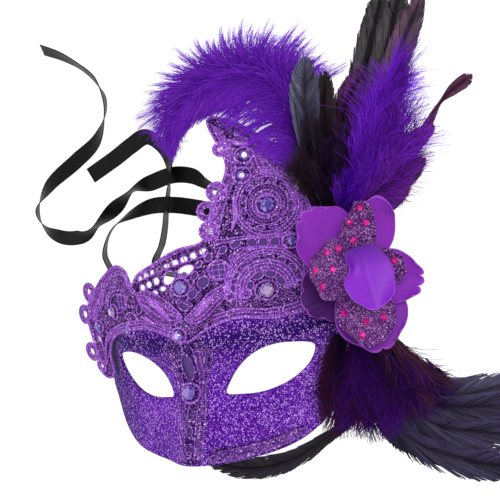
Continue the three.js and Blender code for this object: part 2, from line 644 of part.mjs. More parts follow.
function flowerStem() {
  const low = alongFlower(-CALYX.low);
  return join([
    rod(onPost(FLOWER_FOOT, SEAT_GAP), low, FLOWER_FOOT.radius, CALYX.neckRadius),
    rod(low, alongFlower(-CALYX.high), CALYX.lowRadius, CALYX.highRadius),
    rod(low, alongFlower(FLOWER_POST.length), FLOWER_POST.radius, FLOWER_POST.radius),
  ]);
}

// Ribbons: flat bands that lie and stand on the table

// lean turns the band's width from upright (0) to flat (90); raise lifts its lower edge off the table
const RIBBON_LEFT_ROUTE = [
  { x: -73, y: 31, lean: 40, raise: 2.4 }, { x: -72, y: 43, lean: 40, raise: 2.2 },
  { x: -69, y: 56, lean: 18, raise: 1 }, { x: -70, y: 68, lean: 12 }, { x: -73, y: 78, lean: 14 },
  { x: -69, y: 89, lean: 18 }, { x: -61, y: 97, lean: 14 }, { x: -49, y: 102, lean: 40 },
  { x: -36, y: 105, lean: 70 }, { x: -22, y: 104, lean: 84 }, { x: -8, y: 101, lean: 80 },
  { x: 8, y: 97, lean: 50 }, { x: 25, y: 95, lean: 0 }, { x: 37, y: 99, lean: 0 },
  { x: 39, y: 107, lean: 0 }, { x: 31, y: 112, lean: 0 }, { x: 18, y: 110, lean: 5 },
  { x: 4, y: 114, lean: 45 }, { x: -7, y: 120, lean: 80 }, { x: -20, y: 122, lean: 86 },
  { x: -35, y: 119, lean: 72 }, { x: -49, y: 115, lean: 0 }, { x: -62, y: 106, lean: 45 },
  { x: -77, y: 96, lean: 0 }, { x: -90, y: 91, lean: 62 }, { x: -104, y: 92, lean: 72 },
  { x: -114, y: 99, lean: 40 }, { x: -117, y: 111, lean: 20 }, { x: -107, y: 125, lean: 64 },
  { x: -86, y: 138, lean: 84 }, { x: -68, y: 149, lean: 62 }, { x: -58, y: 164, lean: 24 },
  { x: -57, y: 175, lean: 18 }, { x: -62, y: 186, lean: 34 }, { x: -71, y: 195, lean: 30 },
  { x: -83, y: 203, lean: 37 }, { x: -96, y: 209, lean: 41 },
];
const RIBBON_RIGHT_ROUTE = [
  { x: 73, y: 30, lean: -40, raise: 2.6 }, { x: 71, y: 40, lean: -25, raise: 1.4 }, { x: 63, y: 47, lean: 0 },
  { x: 48, y: 51, lean: 0 }, { x: 30, y: 55, lean: 0 }, { x: 8, y: 58, lean: 0 },
  { x: -14, y: 60, lean: 0 }, { x: -32, y: 64, lean: 0 }, { x: -38, y: 71, lean: 0 },
  { x: -32, y: 81, lean: 4, raise: 0.4 }, { x: -27, y: 92, lean: 8, raise: 2.2 },
  { x: -24, y: 103, lean: 12, raise: 2.8 }, { x: -21, y: 113, lean: 14, raise: 2.8 },
  { x: -19, y: 123, lean: 34, raise: 2.6 }, { x: -20, y: 132, lean: 62, raise: 0.8 },
  { x: -25, y: 141, lean: 70 }, { x: -34, y: 147, lean: 72 }, { x: -45, y: 143, lean: 78 },
  { x: -57, y: 137, lean: 84 }, { x: -77, y: 128, lean: 86 },
];
const RIBBON_STEP = 11;       // length of band between its cross sections
const RIBBON_CLEARANCE = 0.15;

function ribbonStop({ x, y, lean, raise = 0 }) {
  const turn = THREE.MathUtils.degToRad(lean);
  const below = (RIBBON.width / 2) * Math.cos(turn) + (RIBBON.thickness / 2) * Math.abs(Math.sin(turn));
  return [x, y, below + RIBBON_CLEARANCE + raise];
}

function ribbon(route) {
  const middle = curveThrough(route.map(ribbonStop));
  const leans = curveThrough(route.map(({ lean }) => [lean, 0, 0]));
  const pointAt = (u, v) => {
    const station = THREE.MathUtils.clamp(v, 0, 1);
    const along = middle.getTangent(station);
    const flatSide = along.clone().cross(UP).normalize();
    const upSide = flatSide.clone().cross(along).normalize();
    const lean = THREE.MathUtils.degToRad(leans.getPoint(station).x);
    const across = upSide.multiplyScalar(Math.cos(lean)).addScaledVector(flatSide, Math.sin(lean));
    const point = middle.getPoint(station).addScaledVector(along, (v - station) * middle.getLength());
    return point.addScaledVector(across, RIBBON.width * (u - 0.5));
  };
  const half = RIBBON.thickness / 2;
  return sheetSolid(pointAt, 1, Math.round(middle.getLength() / RIBBON_STEP), -half, half).subtract(TABLE);
}

// Assembly

function meshOf(name, geometry, material) {
  const mesh = new THREE.Mesh(geometry, material);
  mesh.name = name;
  return mesh;
}

const mask = new THREE.Group();
const pieces = [
  ["mask_base", maskBase(), GLITTER],
  ["brow_lace", browLace(), LACE],
  ["nose_lace", noseLace(), LACE],
  ["cheek_edging", cheekEdging(), LACE],
  ["flower_stem", flowerStem(), PETAL_CLOTH],
  ["coque_fan", coqueFan(), DARK_FEATHER],
  ["purple_hackle", purpleHackle(), VIOLET_FEATHER],
  ["coque_tail", coqueTail(), DARK_FEATHER],
  ["tail_down", tailDown(), DOWN],
  ["sickle_feather", sickleFeather(), DARK_FEATHER],
  ["ostrich_plume", ostrichPlume(), VIOLET_FEATHER],
];
pieces.forEach(([name, solid, material]) => mask.add(meshOf(name, geometryOf(solid), material)));
STONES.forEach((stone) => mask.add(stoneMesh(stone)));
PETALS.forEach((petal) => {
  const cloth = petal.name.startsWith("glitter") ? GLITTER_CLOTH : PETAL_CLOTH;
  mask.add(meshOf(petal.name, geometryOf(petalSolid(petal)), cloth));
});
mask.add(meshOf(LIP.name, geometryOf(petalSolid(LIP)), LIP_SATIN));

// The origin stands on the table under the middle of everything but the ribbons.
mask.updateMatrixWorld(true);
const reach = new THREE.Box3().setFromObject(mask, true);
const middle = reach.getCenter(new THREE.Vector3());
mask.add(meshOf("ribbon_left", geometryOf(ribbon(RIBBON_LEFT_ROUTE)), BLACK_SATIN));
mask.add(meshOf("ribbon_right", geometryOf(ribbon(RIBBON_RIGHT_ROUTE)), BLACK_SATIN));
mask.position.set(-middle.x, -middle.y, 0);

const model = new THREE.Group();
model.add(mask);

export default model;
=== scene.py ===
# %% [markdown]
# # A lace masquerade mask
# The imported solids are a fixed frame. Each step below makes one part of the real mask in the same place,
# finer than its solid: threads instead of a lace slab, barbs instead of a feather blade.
# Everything is laid out in millimetres on a chart of the face, and turned into metres when a mesh is made.

# %% Load the frame
import math

import bpy
import numpy as np
from mathutils import Matrix, Vector, geometry


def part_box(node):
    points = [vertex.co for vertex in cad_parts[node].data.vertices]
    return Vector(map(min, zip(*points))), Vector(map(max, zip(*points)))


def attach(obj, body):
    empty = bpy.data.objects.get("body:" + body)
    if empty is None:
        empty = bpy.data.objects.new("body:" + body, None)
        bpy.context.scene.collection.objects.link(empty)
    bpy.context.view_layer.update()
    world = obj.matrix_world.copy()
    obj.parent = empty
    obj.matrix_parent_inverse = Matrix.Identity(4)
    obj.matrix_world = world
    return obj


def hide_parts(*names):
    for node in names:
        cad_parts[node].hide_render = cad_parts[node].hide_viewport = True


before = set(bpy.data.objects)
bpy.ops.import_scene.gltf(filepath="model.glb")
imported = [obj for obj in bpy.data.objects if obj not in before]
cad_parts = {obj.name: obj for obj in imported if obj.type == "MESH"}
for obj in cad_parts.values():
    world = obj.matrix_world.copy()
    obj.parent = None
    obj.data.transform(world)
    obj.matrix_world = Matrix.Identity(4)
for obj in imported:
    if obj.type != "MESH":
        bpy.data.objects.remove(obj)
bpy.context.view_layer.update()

MM = 0.001
CHIN_Y = -41.03               # lowest point of the moulded face on the chart
FACE_LOW, FACE_HIGH = (np.array(corner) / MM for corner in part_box("mask_base"))
SHIFT = np.array([(FACE_LOW[0] + FACE_HIGH[0]) / 2, FACE_LOW[1] - CHIN_Y, 0])
UP = np.array([0.0, 0.0, 1.0])
CHART_TOP = np.array([0.0, 1.0, 0.0])   # from the chin towards the crest
print("chart origin in the frame, mm:", SHIFT.round(2))

# %% [markdown]
# ## The camera
# The mask lies face up and is seen from above, a little from the right. The camera could be aimed with a
# constraint, but three angles and a target give its axes directly, and nothing else has to be evaluated.

# %% Camera
VIEW_TURN, VIEW_LIFT, VIEW_ROLL = (math.radians(angle) for angle in (24.5, 5.5, 8.0))
VIEW_TARGET = np.array([35, 75, 26])
VIEW_DISTANCE = 700
LENS = 88.56

toward = np.array([
    math.sin(VIEW_TURN) * math.cos(VIEW_LIFT),
    math.sin(VIEW_LIFT),
    math.cos(VIEW_TURN) * math.cos(VIEW_LIFT),
])
level = np.array([math.cos(VIEW_TURN), 0, -math.sin(VIEW_TURN)])
upright = np.cross(toward, level)
picture_right = level * math.cos(VIEW_ROLL) - upright * math.sin(VIEW_ROLL)
picture_up = level * math.sin(VIEW_ROLL) + upright * math.cos(VIEW_ROLL)
stand = (VIEW_TARGET + VIEW_DISTANCE * toward + SHIFT) * MM


def placed(name, data):
    """A new object in the scene."""
    made = bpy.data.objects.new(name, data)
    bpy.context.collection.objects.link(made)
    return made


camera = placed("camera", bpy.data.cameras.new("camera"))
camera.data.lens = LENS
camera.matrix_world = Matrix([
    [picture_right[axis], picture_up[axis], toward[axis], stand[axis]] for axis in range(3)
] + [[0, 0, 0, 1]])
bpy.context.scene.camera = camera
print("camera stands at, m:", stand.round(3))

# %% [markdown]
# ## Finishes
# A finish is a material whose colour, gloss and relief come from nodes. Wiring nodes by hand is long to
# read, so a small class lets sockets be added and multiplied as numbers are.

# %% Shader values
class Value:
    """One output socket of a finish; sums of values add Math nodes."""

    def __init__(self, finish, socket):
        self.finish = finish
        self.socket = socket

    def math(self, operation, first, second=0.0):
        return self.finish.node("ShaderNodeMath", {"operation": operation}, {0: first, 1: second})

    def __add__(self, other):
        return self.math("ADD", self, other)

    def __sub__(self, other):
        return self.math("SUBTRACT", self, other)

    def __rsub__(self, other):
        return self.math("SUBTRACT", other, self)

    def __mul__(self, other):
        return self.math("MULTIPLY", self, other)

    def __pow__(self, other):
        return self.math("POWER", self, other)

    def over(self, threshold):
        return self.math("GREATER_THAN", self, threshold)

    def sine(self):
        return self.math("SINE", self)

    __radd__ = __add__
    __rmul__ = __mul__


# %% Materials
def socket_name(word):
    return word.replace("_", " ").title().replace("Ior", "IOR")


class Finish:
    """A material; shader holds the numbers that are the same all over."""

    def __init__(self, name, **shader):
        self.material = bpy.data.materials.new(name)
        self.material.use_nodes = True
        self.tree = self.material.node_tree
        self.shader = self.tree.nodes["Principled BSDF"]
        self.feeds(**shader)

    def node(self, kind, settings=None, sockets=None, output=0):
        made = self.tree.nodes.new(kind)
        settings = dict(settings or {})
        stops = settings.pop("stops", None)
        for name, value in settings.items():
            setattr(made, name, value)
        if stops:
            ramp = made.color_ramp
            while len(ramp.elements) < len(stops):
                ramp.elements.new(0.5)
            for element, (place, tone) in zip(ramp.elements, stops):
                element.position = place
                element.color = (*tone, 1)
        for key, value in (sockets or {}).items():
            self.feed(made.inputs[key], value)
        return Value(self, made.outputs[output])

    def feed(self, socket, value):
        if isinstance(value, Value):
            self.tree.links.new(value.socket, socket)
        elif socket.type == "RGBA":
            socket.default_value = (*value, 1)
        else:
            socket.default_value = value

    def feeds(self, **sockets):
        for name, value in sockets.items():
            self.feed(self.shader.inputs[socket_name(name)], value)

    def place(self):
        return self.node("ShaderNodeTexCoord", output="Object")

    def number(self, name):
        return self.node("ShaderNodeAttribute", {"attribute_name": name}, output="Fac")

    def tint(self):
        return self.node("ShaderNodeAttribute", {"attribute_name": "tint"}, output="Color")

    def mix(self, share, first, second, blend="MIX"):
        settings = {"data_type": "RGBA", "blend_type": blend}
        return self.node("ShaderNodeMix", settings, {0: share, 6: first, 7: second}, output=2)

    def noise(self, grain, detail=3.0):
        sockets = {"Vector": self.place(), "Scale": 1 / (grain * MM), "Detail": detail}
        return self.node("ShaderNodeTexNoise", None, sockets)

    def flakes(self, size, feature="F1", output="Color"):
        """A colour that is random in each flake of that size in millimetres, or another feature of flakes."""
        sockets = {"Vector": self.place(), "Scale": 1 / (size * MM)}
        return self.node("ShaderNodeTexVoronoi", {"feature": feature}, sockets, output)

    def channel(self, colour, name):
        return self.node("ShaderNodeSeparateColor", None, {0: colour}, output=name)

    def ramp(self, share, stops):
        return self.node("ShaderNodeValToRGB", {"stops": stops}, {0: share})

    def vector(self, operation, first, second=(0, 0, 0)):
        return self.node("ShaderNodeVectorMath", {"operation": operation}, {0: first, 1: second})

    def scaled(self, vector, size):
        return self.node("ShaderNodeVectorMath", {"operation": "SCALE"}, {0: vector, "Scale": size})

    def tilted(self, flakes, amount):
        """The surface's normal, leaning at random in each flake."""
        normal = self.node("ShaderNodeNewGeometry", output="Normal")
        lean = self.scaled(self.vector("SUBTRACT", flakes, (0.5, 0.5, 0.5)), amount)
        return self.vector("NORMALIZE", self.vector("ADD", normal, lean))

    def bump(self, height, depth, strength=1.0):
        sockets = {"Height": height, "Distance": depth * MM, "Strength": strength}
        return self.node("ShaderNodeBump", None, sockets)


def rgb(red, green, blue):
    """A colour as painters' programs give it, from 0 to 255, in the linear numbers that shaders use."""
    share = np.array([red, green, blue]) / 255
    return np.where(share <= 0.04045, share / 12.92, ((share + 0.055) / 1.055) ** 2.4)


print("finish helpers ready")

# %% [markdown]
# ## Mesh helpers
# Thousands of barbs and threads are quicker as arrays than one by one. A heap collects points and faces of
# many small closed shapes; a piece is one heap turned into an object that rides on the frame.

# %% Lines
def unit(vectors):
    return vectors / np.maximum(np.linalg.norm(vectors, axis=-1, keepdims=True), 1e-9)


def curve(stops, shares, closed=False):
    """Points of a smooth line through stops, the same line that the solids follow."""
    stops = np.asarray(stops, float)
    if closed:
        knots = np.concatenate([stops[-1:], stops, stops[:2]])
    else:
        knots = np.concatenate([2 * stops[:1] - stops[1:2], stops, 2 * stops[-1:] - stops[-2:-1]])
    spans = len(knots) - 3
    place = np.asarray(shares, float) * spans
    first = np.clip(np.floor(place).astype(int), 0, spans - 1)
    share = (place - first)[:, None]
    before, start, end, after = (knots[first + step] for step in range(4))
    run = [np.sum((b - a) ** 2, axis=1, keepdims=True) ** 0.25
           for a, b in ((before, start), (start, end), (end, after))]
    middle = np.where(run[1] < 1e-4, 1, run[1])
    early = np.where(run[0] < 1e-4, middle, run[0])
    late = np.where(run[2] < 1e-4, middle, run[2])
    leave = (start - before) / early - (end - before) / (early + middle) + (end - start) / middle
    arrive = (end - start) / middle - (after - start) / (middle + late) + (after - end) / late
    leave, arrive = leave * middle, arrive * middle
    square = (3 * (end - start) - 2 * leave - arrive) * share ** 2
    cube = (2 * (start - end) + leave + arrive) * share ** 3
    return start + leave * share + square + cube


def runs(line):
    """How far along a line each of its points is."""
    return np.concatenate([[0], np.cumsum(np.linalg.norm(np.diff(line, axis=0), axis=1))])


def rows_at(rows, marks, places):
    """Rows of numbers that belong to marks, read off at places between them."""
    return np.column_stack([np.interp(places, marks, column) for column in np.transpose(rows)])


def even(line, count):
    """The same line in count points, evenly spaced."""
    run = runs(line)
    return rows_at(line, run, np.linspace(0, run[-1], count))


def length_of(line):
    return float(np.linalg.norm(np.diff(line, axis=0), axis=1).sum())


# %% Heaps and pieces
class Heap:
    """Points and faces of many small shapes, with the values that their finish reads."""

    def __init__(self):
        self.points, self.faces, self.values, self.count = [], [], {}, 0

    def add(self, points, faces, **values):
        points = np.asarray(points, float)
        for name, value in values.items():
            shape = points.shape if name == "tint" else points.shape[:-1]
            rows = np.broadcast_to(np.asarray(value, float), shape).ravel()
            self.values.setdefault(name, []).append(rows.reshape(-1, 3) if name == "tint" else rows)
        points = points.reshape(-1, 3)
        self.points.append(points)
        self.faces += [np.asarray(block) + self.count for block in faces]
        self.count += len(points)


def piece(name, heap, slot, finish, nodes, smooth=True):
    """One object from a heap, riding on the frame in the place of the named solids."""
    mesh = bpy.data.meshes.new(name)
    points = (np.concatenate(heap.points) + SHIFT) * MM
    faces = [face for block in heap.faces for face in block.tolist()]
    mesh.from_pydata(points.tolist(), [], faces)
    for key, rows in heap.values.items():
        rows = np.concatenate(rows)
        if key == "tint":
            rows = np.column_stack([rows, np.ones(len(rows))])
            mesh.attributes.new(key, "FLOAT_COLOR", "POINT").data.foreach_set("color", rows.ravel())
        else:
            mesh.attributes.new(key, "FLOAT", "POINT").data.foreach_set("value", rows)
    mesh.polygons.foreach_set("use_smooth", [smooth] * len(mesh.polygons))
    mesh.materials.append(finish.material)
    made = placed(name, mesh)
    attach(made, "root")
    if nodes:
        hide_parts(*nodes)
    triangles = sum(len(block) * (block.shape[1] - 2) for block in heap.faces)
    print(f"{name}: {heap.count} points, {triangles} triangles")
    return made


# %% Sheets and rods
def shell(grid, low, high):
    """A thin closed sheet over a grid of points, from low to high along its normal."""
    rows, columns = grid.shape[:2]
    normal = unit(np.cross(np.gradient(grid, axis=1), np.gradient(grid, axis=0)))
    low, high = (np.broadcast_to(np.asarray(side, float), (rows, columns))[..., None] for side in (low, high))
    index = np.arange(rows * columns).reshape(rows, columns)
    a, b, c, d = index[:-1, :-1], index[:-1, 1:], index[1:, 1:], index[1:, :-1]
    layer = rows * columns
    border = np.concatenate([index[0, :-1], index[:-1, -1], index[-1, :0:-1], index[:0:-1, 0]])
    after = np.roll(border, -1)
    faces = np.concatenate([
        np.stack([a, d, c, b], -1).reshape(-1, 4),
        np.stack([a, b, c, d], -1).reshape(-1, 4) + layer,
        np.stack([border, after, after + layer, border + layer], -1),
    ])
    return np.stack([grid + normal * low, grid + normal * high]), [faces]


def rods(lines, across, high, facing, sides=3):
    """Closed rods along lines[rod, station]: half sizes across and high, high towards facing."""
    lines = np.asarray(lines, float)
    count, stations = lines.shape[:2]
    along = np.gradient(lines, axis=1)
    side = unit(np.cross(along, np.broadcast_to(facing, lines.shape)))
    top = unit(np.cross(side, along))
    across, high = (np.broadcast_to(np.asarray(size, float), (count, stations)) for size in (across, high))
    angle = np.pi / 2 + 2 * np.pi * np.arange(sides) / sides
    rings = (
        lines[:, :, None]
        + side[:, :, None] * (across[:, :, None] * np.cos(angle))[..., None]
        + top[:, :, None] * (high[:, :, None] * np.sin(angle))[..., None]
    )
    index = np.arange(count * stations * sides).reshape(count, stations, sides)
    turned = np.roll(index, -1, axis=2)
    walls = np.stack([index[:, :-1], turned[:, :-1], turned[:, 1:], index[:, 1:]], -1).reshape(-1, 4)
    ends = np.concatenate([index[:, 0, ::-1], index[:, -1]])
    return rings, [walls, ends]


def bend(root, middle, tip, stations):
    """Arcs from root to tip pulled towards middle, for many strands at once."""
    share = np.linspace(0, 1, stations)[None, :, None]
    root, middle, tip = (stop[:, None] for stop in (root, middle, tip))
    return root * (1 - share) ** 2 + middle * 2 * share * (1 - share) + tip * share ** 2


print("mesh helpers ready")

# %% [markdown]
# ## Two satin ribbons
# Black satin ties, 10 mm wide, twist across the table on the left and behind the crest. A cloth simulation
# would let them fall anywhere, and they have to lie where the solids lie, so each is drawn along its route:
# a lean of 0 stands the band on its edge and 90 lays it flat. The selvedges are a little thicker.

# %% Ribbon routes
RIBBON_WIDTH = 10
RIBBON_SOLID_HALF = 0.4       # half the solid's thickness, which sets how high the route runs
RIBBON_HALF = 0.17
SELVEDGE_HALF = 0.3
RIBBON_CLEARANCE = 0.15
RIBBON_STEP = 1.5
RIBBON_LOWEST = 0.02
# Columns: x, y, lean in degrees, raise of the lower edge over the table
LEFT_ROUTE = [
    (-73, 31, 40, 2.4), (-72, 43, 40, 2.2), (-69, 56, 18, 1), (-70, 68, 12, 0), (-73, 78, 14, 0),
    (-69, 89, 18, 0), (-61, 97, 14, 0), (-49, 102, 40, 0), (-36, 105, 70, 0), (-22, 104, 84, 0),
    (-8, 101, 80, 0), (8, 97, 50, 0), (25, 95, 0, 0), (37, 99, 0, 0), (39, 107, 0, 0),
    (31, 112, 0, 0), (18, 110, 5, 0), (4, 114, 45, 0), (-7, 120, 80, 0), (-20, 122, 86, 0),
    (-35, 119, 72, 0), (-49, 115, 0, 0), (-62, 106, 45, 0), (-77, 96, 0, 0), (-90, 91, 62, 0),
    (-104, 92, 72, 0), (-114, 99, 40, 0), (-117, 111, 20, 0), (-107, 125, 64, 0), (-86, 138, 84, 0),
    (-68, 149, 62, 0), (-58, 164, 24, 0), (-57, 175, 18, 0), (-62, 186, 34, 0), (-71, 195, 30, 0),
    (-83, 203, 37, 0), (-96, 209, 41, 0),
]
RIGHT_ROUTE = [
    (73, 30, -40, 2.6), (71, 40, -25, 1.4), (63, 47, 0, 0), (48, 51, 0, 0), (30, 55, 0, 0),
    (8, 58, 0, 0), (-14, 60, 0, 0), (-32, 64, 0, 0), (-38, 71, 0, 0), (-32, 81, 4, 0.4),
    (-27, 92, 8, 2.2), (-24, 103, 12, 2.8), (-21, 113, 14, 2.8), (-19, 123, 34, 2.6), (-20, 132, 62, 0.8),
    (-25, 141, 70, 0), (-34, 147, 72, 0), (-45, 143, 78, 0), (-57, 137, 84, 0), (-77, 128, 86, 0),
]
LEFT_LENGTH, RIGHT_LENGTH = 0.51, 0.262
print(len(LEFT_ROUTE), "stops on the left tie's route,", len(RIGHT_ROUTE), "on the right tie's")


# %% A band along a route
def ribbon_grid(route):
    """The middle line of a ribbon, and its cloth as a grid from edge to edge."""
    route = np.array(route, float)
    lean = np.radians(route[:, 2])
    below = RIBBON_WIDTH / 2 * np.cos(lean) + RIBBON_SOLID_HALF * np.abs(np.sin(lean)) + RIBBON_CLEARANCE
    stops = np.column_stack([route[:, :2], below + route[:, 3]])
    rough = curve(stops, np.linspace(0, 1, 40 * len(route)))
    shares = np.linspace(0, 1, round(length_of(rough) / RIBBON_STEP))
    middle = curve(stops, shares)
    lean = np.radians(curve(route[:, 2:3], shares))
    along = unit(np.gradient(middle, axis=0))
    flat_side = unit(np.cross(along, UP))
    up_side = unit(np.cross(flat_side, along))
    across = up_side * np.cos(lean) + flat_side * np.sin(lean)
    places = np.array([-0.5, -0.46, -0.3, -0.1, 0.1, 0.3, 0.46, 0.5]) * RIBBON_WIDTH
    return middle, middle[:, None] + across[:, None] * places[None, :, None], places


# %% Black satin
satin = Finish("black_satin", sheen_weight=0.02, sheen_roughness=0.35, specular_ior_level=0.3, ior=1.35)
WEFT = 2 * math.pi / 0.42     # radians a millimetre, for a rib of the weft every 0.42 mm
WARP = 2 * math.pi / 0.23     # and a float of the warp every 0.23 mm
ribs = (satin.number("along") * WEFT).sine()
floats = (satin.number("across") * WARP).sine()
crease = satin.noise(6)
satin.feeds(
    base_color=satin.ramp(crease, [(0.3, rgb(8, 8, 9)), (0.7, rgb(19, 18, 20))]),
    roughness=0.3 + 0.22 * crease,
    normal=satin.bump(ribs + 0.6 * floats + 2 * crease, 0.03, 0.5),
)

# %% Satin ties
for name, route, length in (("left", LEFT_ROUTE, LEFT_LENGTH), ("right", RIGHT_ROUTE, RIGHT_LENGTH)):
    middle, grid, places = ribbon_grid(route)
    thickness = np.where(np.abs(places) > 0.45 * RIBBON_WIDTH, SELVEDGE_HALF, RIBBON_HALF)
    points, faces = shell(grid, -thickness, thickness)
    points[..., 2] = np.maximum(points[..., 2], RIBBON_LOWEST)
    heap = Heap()
    heap.add(points, faces, along=runs(middle)[None, :, None], across=places)
    made = piece(f"satin_tie_{name}", heap, "black_satin", satin, [f"ribbon_{name}"])
    path = (middle + SHIFT) * MM
    print(f"{name} tie is {length_of(middle):.0f} mm long")

# %% [markdown]
# ## The moulded face
# The base is a thin plastic half mask with a swan-shaped crest, sprayed with coarse violet glitter. Under
# the lace it was left bare and shows slate violet. Its form is a formula of x and y, so a triangle mesh of
# the front outline, with the eyes left out, is simply lifted onto it and given a wall and a soft rim.

# %% Heights over the chart
HALF_WIDTH = 83               # temple rim from the middle of the face
BRIDGE_DEPTH, BROW_DEPTH, BROW_Y = 48, 53, 34
CREST_LEAN = 0.0006           # how fast the crest falls back above the brow
NOSE_TOP, NOSE_BOTTOM, NOSE_BRIDGE, NOSE_RISE, NOSE_WIDTH, NOSE_SPREAD = 12, -40, 2, 16, 13, 6
SOCKET_DEPTH, SOCKET_X, SOCKET_Y, SOCKET_WIDE, SOCKET_HIGH = 6, 36, 8, 20, 14
FLARE_X, FLARE_SLOPE = -60, 0.55


def smoothstep(value, low, high):
    share = np.clip((value - low) / (high - low), 0, 1)
    return share * share * (3 - 2 * share)


def bell(value):
    return np.exp(-value * value)


def face_height(x, y):
    lean = CREST_LEAN * np.maximum(0, y - BROW_Y) ** 2
    depth = BRIDGE_DEPTH + (BROW_DEPTH - BRIDGE_DEPTH) * smoothstep(y, 0, BROW_Y) - lean
    arch = depth * (1 - (x / HALF_WIDTH) ** 2)
    nose_wide = NOSE_WIDTH + NOSE_SPREAD * smoothstep(-y, 0, -NOSE_BOTTOM)
    nose = (NOSE_BRIDGE + NOSE_RISE * smoothstep(-y, -NOSE_TOP, -NOSE_BOTTOM)) * bell(x / nose_wide)
    socket = bell((np.abs(x) - SOCKET_X) / SOCKET_WIDE) * bell((y - SOCKET_Y) / SOCKET_HIGH)
    return arch + nose - SOCKET_DEPTH * socket


def lace_height(x, y):
    """The stiff lace follows the face, and stands away from it over the left temple."""
    inner = np.maximum(x, FLARE_X)
    return face_height(inner, y) - FLARE_SLOPE * (inner - x)


def lift(chart, distance, height=face_height):
    """Points of the chart at that distance over a form, and the form's normals there."""
    chart = np.asarray(chart, float)
    x, y = chart[..., 0], chart[..., 1]
    slope_x = height(x + 0.5, y) - height(x - 0.5, y)
    slope_y = height(x, y + 0.5) - height(x, y - 0.5)
    normal = unit(np.stack([-slope_x, -slope_y, np.ones_like(x)], -1))
    distance = np.broadcast_to(np.asarray(distance, float), x.shape)[..., None]
    return np.stack([x, y, height(x, y)], -1) + normal * distance, normal


def on_post(foot, distance):
    """A point of a post that stands square on the face."""
    return lift(np.array(foot, float), distance)[0]


print(f"bridge of the nose is {face_height(0.0, 0.0):.1f} mm over the table")


# %% Loops on the chart
def inside(points, loop):
    """Which points lie inside a closed loop."""
    x, y = points[:, :1], points[:, 1:2]
    start, end = loop, np.roll(loop, -1, axis=0)
    crosses = (start[:, 1] > y) != (end[:, 1] > y)
    rise = np.where(end[:, 1] == start[:, 1], 1e-9, end[:, 1] - start[:, 1])
    at = start[:, 0] + (y - start[:, 1]) * (end[:, 0] - start[:, 0]) / rise
    return (np.sum(crosses & (x < at), axis=1) % 2).astype(bool)


def any_inside(points, loops):
    return np.any([inside(points, loop) for loop in loops], axis=0)


def cut_of(outlines, holes, islands=()):
    """A test of chart points: inside the outlines and in no hole, or on an island in one."""
    def keep(points):
        cloth = any_inside(points, outlines) & ~any_inside(points, holes)
        return cloth | any_inside(points, islands) if islands else cloth
    return keep


def closed_line(loop):
    return np.concatenate([loop, loop[:1]])


def round_loop(corners, spacing=1.0):
    rough = curve(corners, np.linspace(0, 1, 40 * len(corners) + 1), closed=True)
    return even(rough, max(8, round(length_of(rough) / spacing)) + 1)[:-1]


def oval(x, y, long, short, turn=0.0, spacing=0.9):
    count = max(10, round(np.pi * (long + short) / spacing))
    angle = 2 * np.pi * np.arange(count) / count
    turn = math.radians(turn)
    along, across = long * np.cos(angle), short * np.sin(angle)
    return np.column_stack([
        x + along * math.cos(turn) - across * math.sin(turn),
        y + along * math.sin(turn) + across * math.cos(turn),
    ])


# %% Triangles of a chart
ROW_SHARE = 0.866             # rows of even triangles lie this share of a side apart
RIM_GAP = 0.55                # points nearer to a loop than this share of a side are left out


def staggered(corners, step):
    """Points in staggered rows over the box of some corners."""
    low, high = corners.min(axis=0), corners.max(axis=0)
    rows = np.arange(low[1], high[1], step * ROW_SHARE)
    columns = np.arange(low[0], high[0], step)
    return np.array([(x + step / 2 * (row % 2), y) for row, y in enumerate(rows) for x in columns])


def triangles_of(loops, keep, spacing):
    """A chart cut along loops into triangles of about one size; keep says which points stay."""
    corners = np.concatenate(loops)
    starts = np.cumsum([0] + [len(loop) for loop in loops])
    edges = [(int(start) + i, int(start) + (i + 1) % len(loop))
             for start, loop in zip(starts, loops) for i in range(len(loop))]
    field = staggered(corners, spacing)
    field = field[keep(field)]
    reach = np.concatenate([
        np.linalg.norm(block[:, None] - corners[None], axis=2).min(axis=1)
        for block in np.array_split(field, max(1, len(field) // 2000))
    ])
    chart = np.concatenate([corners, field[reach > RIM_GAP * spacing]])
    verts, _, faces, *_ = geometry.delaunay_2d_cdt([Vector(p) for p in chart], edges, [], 0, 1e-4)
    chart = np.array([(vert.x, vert.y) for vert in verts])
    faces = np.array([face for face in faces if len(face) == 3])
    faces = faces[keep(chart[faces].mean(axis=1))]
    a, b, c = (chart[faces[:, corner]] for corner in range(3))
    turn = (b[:, 0] - a[:, 0]) * (c[:, 1] - a[:, 1]) - (b[:, 1] - a[:, 1]) * (c[:, 0] - a[:, 0])
    faces[turn < 0] = faces[turn < 0][:, ::-1]
    faces = faces[np.abs(turn) > 1e-6]
    used, faces = np.unique(faces, return_inverse=True)
    return chart[used], faces.reshape(-1, 3)


# %% Walls over a chart
def slab(chart, faces, low, high, bulge, height=face_height):
    """A closed wall over a chart's triangles, its rim swelling out by bulge."""
    edges = np.concatenate([faces[:, [0, 1]], faces[:, [1, 2]], faces[:, [2, 0]]])
    keys = edges[:, 0] * len(chart) + edges[:, 1]
    backs = edges[:, 1] * len(chart) + edges[:, 0]
    border = edges[~np.isin(keys, backs)]
    outward = np.zeros_like(chart)
    run = chart[border[:, 1]] - chart[border[:, 0]]
    for end in (0, 1):
        np.add.at(outward, border[:, end], np.column_stack([run[:, 1], -run[:, 0]]))
    rim = np.unique(border)
    place = np.full(len(chart), -1)
    place[rim] = np.arange(len(rim)) + 2 * len(chart)
    push = chart[rim] + unit(outward[rim]) * bulge
    middle = lift(push, (low + high) / 2, height)[0]
    points = np.concatenate([lift(chart, high, height)[0], lift(chart, low, height)[0], middle])
    a, b = border[:, 0], border[:, 1]
    upper = np.stack([b, a, place[a], place[b]], -1)
    lower = np.stack([place[b], place[a], a + len(chart), b + len(chart)], -1)
    return points, [faces, faces[:, ::-1] + len(chart), upper, lower]


print("chart helpers ready")

